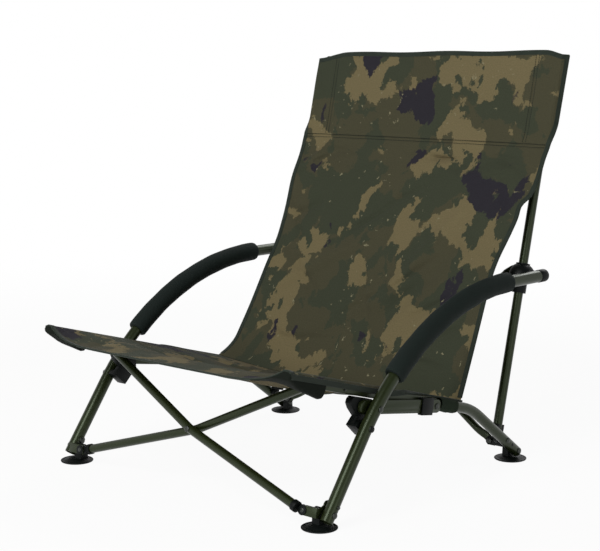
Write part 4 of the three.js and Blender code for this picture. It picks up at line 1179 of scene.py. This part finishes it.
def back_profile(share):
    """The back's place and height in side view, at a share of its rise."""
    back = straight_between(share, back_rise_shares)
    return (back_low[0] + (back_high[0] - back_low[0]) * back,
            back_low[1] + (back_high[1] - back_low[1]) * share)


profile_steps = 200
smooth_profile = []
for i in range(profile_steps + 1):
    reach = min(7, i, profile_steps - i)
    window = [(i + k) / profile_steps for k in range(-reach, reach + 1)]
    y = sum(back_profile(share)[0] for share in window) / len(window)
    wide = sum(straight_between(share, back_width_shares) for share in window) / len(window)
    smooth_profile.append((y, back_profile(i / profile_steps)[1], wide))
back_height = sum(math.hypot(b[0] - a[0], b[1] - a[1]) for a, b in zip(smooth_profile, smooth_profile[1:]))
seam_share = 0.731
head_seam = seam_share * back_height
seam_rows = ((0.0075, 0.0016), (0.0009, 0.0014))
seam_groove = 0.0015
doubled_height = 0.0013
upright_seam = 0.2335
upright_groove = 0.0012
back_belly = 0.014
foot_sag = 0.012
junction_height = 0.05
junction_reach = 0.024
junction_lift = 0.0014
wrap_gap = 0.0015
crowding = 0.35


def pole_y(z):
    """How far back the poles are at a height."""
    return pole_foot[0] + (z - pole_foot[1]) * pole_rise[0] / pole_rise[1]


elbow_bulge = 0.03
elbow_pinch = 0.012
elbow_share = 0.545
near_corner = (0.008, 0.86)
far_corner = (0.011, 0.72)
top_rise = 0.006
top_slope = 0.009
top_ripple = 0.001


def elbow(share):
    """The near edge bulges above the elbow, where the sleeve starts, and is drawn in below it."""
    bulge = elbow_bulge * smooth(share, 0.55, 0.585) * (1 - smooth(share, 0.6, 0.7))
    return bulge - elbow_pinch * math.exp(-((share - elbow_share) / 0.02) ** 2)


def top_line(x, share, side):
    """The top edge rises in a slow wave, and its corners are drawn down on the poles."""
    drop, start = near_corner if x > 0 else far_corner
    edge_drop = drop * smooth(side, start, 1.0) * smooth(share, 0.9, 1.0)
    wave = (top_rise + top_slope * x + top_ripple * math.sin(x * 31 + 0.6)) * smooth(share, 0.86, 1.0)
    return wave - edge_drop


def seam_relief(x, along):
    """The headrest's doubled cloth, the grooves of its seam's two rows and of the upright seams."""
    doubled = smooth(along, head_seam - 0.0018, head_seam + 0.0004)
    groove = sum(math.exp(-((along - head_seam + below) / wide) ** 2) for below, wide in seam_rows)
    upright = math.exp(-((abs(x) - upright_seam) / 0.002) ** 2) * doubled
    return seam_groove * groove + upright_groove * upright - doubled_height * doubled


def back_place(x, along):
    """A point of the middle of the back's cloth, at a height along the sheet."""
    share = along / back_height
    index = min(int(share * profile_steps), profile_steps - 1)
    within = share * profile_steps - index
    y, z, wide = (low * (1 - within) + high * within
                  for low, high in zip(smooth_profile[index], smooth_profile[index + 1]))
    side = abs(x) / sling_half
    if x > 0:
        wide += elbow(share) * smooth(side, 0.5, 1.0)
    sagging = 1 - min(abs(x) / hang_half, 1.0) ** sag_power
    y += back_belly * (1 - min(side, 1.0) ** 2) * math.sin(math.pi * share)
    y += crease_strength * crease_depth(x, along, back_creases) * (1 - side ** 8)
    y += seam_relief(x, along)
    z += top_line(x, share, side) - foot_sag * sagging * (1 - smooth(share, 0.0, 0.25))
    junction = max(1 - along / junction_height, 0.0) ** 2
    gather = junction_reach * smooth(-x, -0.26, 0.16)
    foot = seat_place(x / seat_edge(seat_end - gather), seat_end - gather)
    y -= gather * junction
    z += (foot.z + junction_lift - back_low[1] + foot_sag * sagging) * junction
    wrap = smooth(share, 0.72, 0.8) * smooth(side, 0.975, 1.0)
    y += (pole_y(z) - wrap_gap - y) * wrap
    return spot(x * wide, y, z)


def edge_columns(count):
    """Columns across the chair, closer together at both edges."""
    shares = spread(-1, 1, count)
    return [sling_half * math.sin(math.pi / 2 * share) * crowding + sling_half * share * (1 - crowding)
            for share in shares]


back_steps = spread(0.0, back_height, 140) + [head_seam + 0.0011 * i for i in range(-10, 4)]
back_across = edge_columns(130)
back_across += [sign * (upright_seam + 0.0016 * i) for sign in (1, -1) for i in (-2, -1, 0, 1, 2)]
back_cloth = cloth_sheet("back_cloth", sorted(back_across), sorted(back_steps), back_place, back_print)
settle(back_cloth, "left_pole", "camo_cloth", "back_sling")


# Sleeves on the poles
# Behind each edge of the headrest a strip of the same cloth goes round the pole and is sewn down in
# two vertical rows, so that the back hangs on the tops of the poles.
sleeve_inner = 0.231
sleeve_thickness = 0.0012
sleeve_low_turn = 0.78
sleeve_high_turn = 0.06
sleeve_columns = 14
sleeve_lap = 0.0016
edge_lap = 0.0017
sleeve_slack = 0.004


def sleeve_strip(name, sign):
    """A strip from the back's cloth round behind the pole and forward to the cloth's edge."""
    wrap_radius = pole_radius + sleeve_gap
    steps = sleeve_columns - 4
    points = []
    flats = []
    for along in spread(head_seam, back_height * 0.999, 24):
        inner = back_place(sign * sleeve_inner, along)
        outer = back_place(sign * sling_half, along)
        z = outer.z
        centre_y = front_line + pole_y(z)
        half_way = (inner.y + centre_y) / 2 + sleeve_slack
        strip = [inner + Vector((0, sleeve_lap, 0)),
                 Vector((sign * (pole_centre - wrap_radius * 1.9), half_way, z))]
        for i in range(steps + 1):
            angle = math.pi * (sleeve_low_turn - (sleeve_low_turn - sleeve_high_turn) * i / steps)
            strip.append(Vector((sign * (pole_centre + wrap_radius * math.cos(angle)),
                                 centre_y + wrap_radius * math.sin(angle), z)))
        strip.append(outer + Vector((0, edge_lap, 0)))
        points += strip
        flats += [(sign * (0.3 + 0.06 * i / sleeve_columns), along) for i in range(len(strip))]
    return walled_cloth(name, points, sleeve_columns, back_print, sleeve_thickness, flats)


sleeves = [settle(sleeve_strip(f"{side_name}_pole_sleeve", sign), "left_pole", "camo_cloth")
           for side_name, sign in sides_of_chair]


# Binding tape
# The raw edges of both panels are folded into dark green woven tape, which is sewn through.
def ribbed_tape():
    """Woven tape with fine slanting ribs and a slow change of tone."""
    material = bpy.data.materials.new("green_tape")
    material.use_nodes = True
    tree = material.node_tree
    shader = tree.nodes["Principled BSDF"]
    shader.inputs["Roughness"].default_value = 0.8
    shader.inputs["Specular IOR Level"].default_value = 0.25
    shader.inputs["Sheen Weight"].default_value = 0.1
    cloth = add_node(tree, "ShaderNodeTexCoord")
    ribs = add_node(tree, "ShaderNodeTexWave", {"Scale": 260.0, "Distortion": 0.4, "Detail": 1.0},
                    {"Vector": cloth.outputs["Object"]}, bands_direction="DIAGONAL")
    slow = add_node(tree, "ShaderNodeTexNoise", {"Scale": 60.0, "Detail": 3.0},
                    {"Vector": cloth.outputs["Object"]})
    tone = add_node(tree, "ShaderNodeMix", {6: linear(25, 33, 25), 7: linear(37, 46, 36)},
                    {0: slow.outputs[0]}, data_type="RGBA")
    bump = add_node(tree, "ShaderNodeBump", {"Distance": 0.0002, "Strength": 0.5},
                    {"Height": ribs.outputs["Fac"]})
    tree.links.new(tone.outputs[2], shader.inputs["Base Color"])
    tree.links.new(bump.outputs[0], shader.inputs["Normal"])
    return material


tape = ribbed_tape()
tape_cover = 0.0075
tape_height = 0.0034
tape_bulge = 0.0003
step_in = 0.006


def binding(edge, inside):
    """Tape folded over an edge, from points on the edge and others a little way inside it."""
    half = tape_height / 2
    section = []
    for i in range(9):
        angle = math.pi / 2 + math.pi * i / 8
        section.append((half * math.cos(angle), half * math.sin(angle)))
    section += [(tape_cover, -half * 0.92), (tape_cover + tape_bulge, 0.0), (tape_cover, half * 0.92)]
    points = []
    for centre, way, inner in zip(edge, directions(edge), inside):
        up = way.cross((inner - centre).normalized()).normalized()
        level = up.cross(way).normalized()
        points += [centre + level * a + up * b for a, b in section]
    count = len(section)
    last = (len(edge) - 1) * count
    faces = skin_faces(len(edge), count, looped=False)
    faces += [tuple(range(count)), tuple(range(last, last + count))]
    return points, faces


seat_inset_share = 0.985
seat_rows = spread(seat_start, seat_end, 60)
seat_line = spread(-0.992, 0.992, 90)
bound = [binding([seat_place(sign, a) for a in seat_rows],
                 [seat_place(sign * seat_inset_share, a) for a in seat_rows])
         for _, sign in sides_of_chair]
bound.append(binding([seat_place(x, seat_start) for x in seat_line],
                     [seat_place(x, seat_start + step_in) for x in seat_line]))
seat_tape = settle(piece("seat_binding", *together(*bound), tape), "left_rail", "camo_cloth")

back_rows = spread(0.004, back_height, 90)
back_line = spread(-sling_half, sling_half, 80)
bound = [binding([back_place(sign * sling_half, a) for a in back_rows],
                 [back_place(sign * (sling_half - step_in), a) for a in back_rows])
         for _, sign in sides_of_chair]
bound.append(binding([back_place(x, back_height) for x in back_line],
                     [back_place(x, back_height - step_in) for x in back_line]))
back_tape = settle(piece("back_binding", *together(*bound), tape), "left_pole", "camo_cloth")


# Pockets and loops on the rails
# A dark fabric pocket under each front corner of the seat takes the front end of the rail; its colour is
# darkened further with painted shade from the seat's corner above it. Further back a loop of lighter green
# fabric holds the edge of the seat to the rail, where the rear leg is pushed on.
# The pocket's nearly black colour is dark green fabric plus painted shade, standing for the shade under the
# seat's corner.
dark_fabric = finish("dark_fabric", linear(15, 20, 14), variation=0.2, variation_scale=50, grain_scale=700,
                     grain_depth=0.0004, roughness=0.82, roughness_spread=0.1, specular=0.15)
loop_fabric = finish("loop_fabric", linear(33, 43, 31), variation=0.2, variation_scale=50, grain_scale=700,
                     grain_depth=0.0004, roughness=0.82, roughness_spread=0.1, specular=0.15)
pocket_thickness = 0.0012
pocket_depth = 0.0245
pocket_side = 0.2885
pocket_bulge = 0.0108
pocket_corner_share = 0.42
pocket_inner = 0.214
pocket_narrowing = 0.056
pocket_under = 0.0012
mouth_end = 0.02
pocket_stations = ((-0.003, 0.0), (-0.0044, 0.12), (-0.004, 0.26), (-0.0015, 0.36), (0.003, 0.45),
                   (0.01, 0.58), (0.019, 0.76), (0.028, 0.88), (0.04, 0.98), (0.054, 1.08),
                   (0.064, 1.17), (0.071, 1.22), (0.0765, 1.17), (0.0798, 1.0), (0.082, 0.66),
                   (0.0832, 0.28), (0.083, 0.0))


def pocket(name, sign, columns=26):
    """A soft bag below the corner: down the outer side, round its bottom and up to the cloth's underside."""
    points = []
    for along, share in pocket_stations:
        held = max(along, seat_start)
        corner_top = seat_place(sign * seat_inset_share, held)
        shift = rail_point(along)[0] - rail_point(held)[0]
        depth = pocket_depth * share
        inner_x = pocket_inner + pocket_narrowing * smooth(along, 0.0, 0.07)
        for i in range(columns + 1):
            around = i / columns
            if around < pocket_corner_share:
                turn = around / pocket_corner_share * math.pi / 2
                x = pocket_side + pocket_bulge * math.cos(turn) ** 0.7
                z = corner_top.z - depth * math.sin(turn) ** 0.55
                lining = seat_place(sign * x / seat_edge(held), held).z - pocket_under
            else:
                inward = (around - pocket_corner_share) / (1 - pocket_corner_share)
                x = pocket_side + (inner_x - pocket_side) * inward
                lining = seat_place(sign * x / seat_edge(held), held).z - pocket_under
                low = corner_top.z - depth
                z = min(low + (lining - low) * inward ** 1.8, lining)
            if along < mouth_end:
                z += (lining - z) * (1 - smooth(share, 0.0, 0.2))
            points.append((sign * x, corner_top.y + shift, z))
    return walled_cloth(name, points, columns + 1, dark_fabric, pocket_thickness)


loop_start = 0.3925
loop_end = 0.4415
loop_centre = 0.2951
loop_half_wide = 0.0112
loop_half_high = 0.0114
loop_low_set = -0.0008
loop_thickness = 0.0011
loop_bag = 0.0012
loop_ripple = 0.0006


def rail_loop(sign, steps=8, sides=28):
    """A band of fabric round the rail, slightly baggy below: its outside, and back along its inside."""
    points = []
    for inner, order in ((0.0, range(steps + 1)), (loop_thickness, range(steps, -1, -1))):
        for i in order:
            share = i / steps
            bag = loop_bag * math.sin(math.pi * share) + loop_ripple * math.sin(share * 17)
            for k in range(sides):
                angle = math.tau * k / sides
                wide = math.copysign(abs(math.cos(angle)) ** 0.7, math.cos(angle))
                high = math.copysign(abs(math.sin(angle)) ** 0.7, math.sin(angle))
                up = loop_low_set + high * (loop_half_high - inner + (bag if high < 0 else 0))
                y, z = rail_point(loop_start + (loop_end - loop_start) * share, up)
                points.append(spot(sign * (loop_centre + wide * (loop_half_wide - inner)), y, z))
    return points, skin_faces(2 * (steps + 1), sides)


pockets = [settle(pocket(f"{side_name}_front_pocket", sign), "left_rail", "camo_cloth")
           for side_name, sign in sides_of_chair]
for side_name, sign in sides_of_chair:
    settle(piece(f"{side_name}_rail_loop", *rail_loop(sign), loop_fabric), f"{side_name}_rail", "camo_cloth")


# Stitching
# Green thread runs in short lockstitches in two rows across the foot of the headrest and down each
# sleeve, and in one row across the rear of the seat. One tree sets a stitch at each step of a line.
thread = finish("green_thread", linear(26, 31, 25), variation=0.1, variation_scale=200, grain_scale=3000,
                grain_depth=0.00005, roughness=0.7, specular=0.3)
stitch_profile = ((-0.5, 0.0), (-0.46, 0.7), (-0.2, 1.0), (0.2, 1.0), (0.46, 0.7), (0.5, 0.0))
stitch_sides = 6
stitch_turns = [math.tau * j / stitch_sides for j in range(stitch_sides)]
stitch_points = [(wide * math.cos(turn), wide * math.sin(turn), at)
                 for at, wide in stitch_profile for turn in stitch_turns]
stitch_faces = skin_faces(len(stitch_profile), stitch_sides, looped=False)
stitch = bpy.data.objects.new("stitch", closed_mesh("stitch", stitch_points, stitch_faces, 180))


def stitch_tree():
    """The tree that sets a stitch at each step along its lines."""
    tree, given, lines = repeating_tree("stitches_along_lines", "Lines",
                                        ("Pitch", "Stitch Length", "Thread Radius"), "Stitches")
    places = add_node(tree, "GeometryNodeCurveToPoints", {},
                      {"Curve": lines.outputs[0], "Length": given.outputs["Pitch"]}, mode="LENGTH")
    turn = add_node(tree, "FunctionNodeAlignRotationToVector", {}, {"Vector": places.outputs["Tangent"]},
                    axis="Z")
    shape = add_node(tree, "GeometryNodeObjectInfo", {"Object": stitch})
    size = add_node(tree, "ShaderNodeCombineXYZ", {}, {0: given.outputs["Thread Radius"],
                                                       1: given.outputs["Thread Radius"],
                                                       2: given.outputs["Stitch Length"]})
    sewn = add_node(tree, "GeometryNodeInstanceOnPoints", {},
                    {"Points": places.outputs["Points"], "Instance": shape.outputs["Geometry"],
                     "Rotation": turn.outputs[0], "Scale": size.outputs[0]})
    end_tree(tree, given, sewn.outputs[0])
    return tree


stitches_along_lines = stitch_tree()


def stitched(name, line_name, lines):
    """Stitches along lines of points, as one piece."""
    mesh = bpy.data.meshes.new(line_name)
    points = []
    edges = []
    for line in lines:
        first = len(points)
        points += [tuple(p) for p in line]
        edges += [(first + i, first + i + 1) for i in range(len(line) - 1)]
    mesh.from_pydata(points, edges, [])
    return grown(name, mesh, stitches_along_lines, pitch=0.0042, stitch_length=0.0031, thread_radius=0.00055,
                 finish=thread)


face_height = cloth_thickness / 2 + 0.0003


def proud(place, u, v, step=0.004):
    """A point that stands proud of the cloth's face on the sitter's side."""
    here = place(u, v)
    normal = (place(u + step, v) - here).cross(place(u, v + step) - here).normalized()
    if normal.y > 0 and normal.z < 0.2:
        normal = -normal
    return here + normal * face_height


row_gap = 0.0068
foot_row_half = 0.284
seat_row_share = 0.93
seat_row_inset = 0.012
back_lines = []
for offset in (0.0, row_gap):
    back_lines.append([proud(back_place, x, head_seam - offset)
                       for x in spread(-foot_row_half, foot_row_half, 90)])
    for sign in (1, -1):
        x = sign * (sleeve_inner + offset)
        back_lines.append([proud(back_place, x, a)
                           for a in spread(head_seam + 0.004, back_height - 0.009, 30)])
seat_lines = [[proud(seat_place, x, seat_end - seat_row_inset)
               for x in spread(-seat_row_share, seat_row_share, 80)]]
back_stitches = settle(stitched("back_stitches", "back_stitch_lines", back_lines), "left_pole", "camo_cloth")
seat_stitches = settle(stitched("seat_stitches", "seat_stitch_lines", seat_lines), "left_rail", "camo_cloth")


# Own meshes of the cloth
# Each piece of cloth, tape, stitching, sleeve and pocket gets its own copy of its mesh.
for made in (seat_cloth, back_cloth, seat_tape, back_tape, back_stitches, seat_stitches, *sleeves, *pockets):
    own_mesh(made)
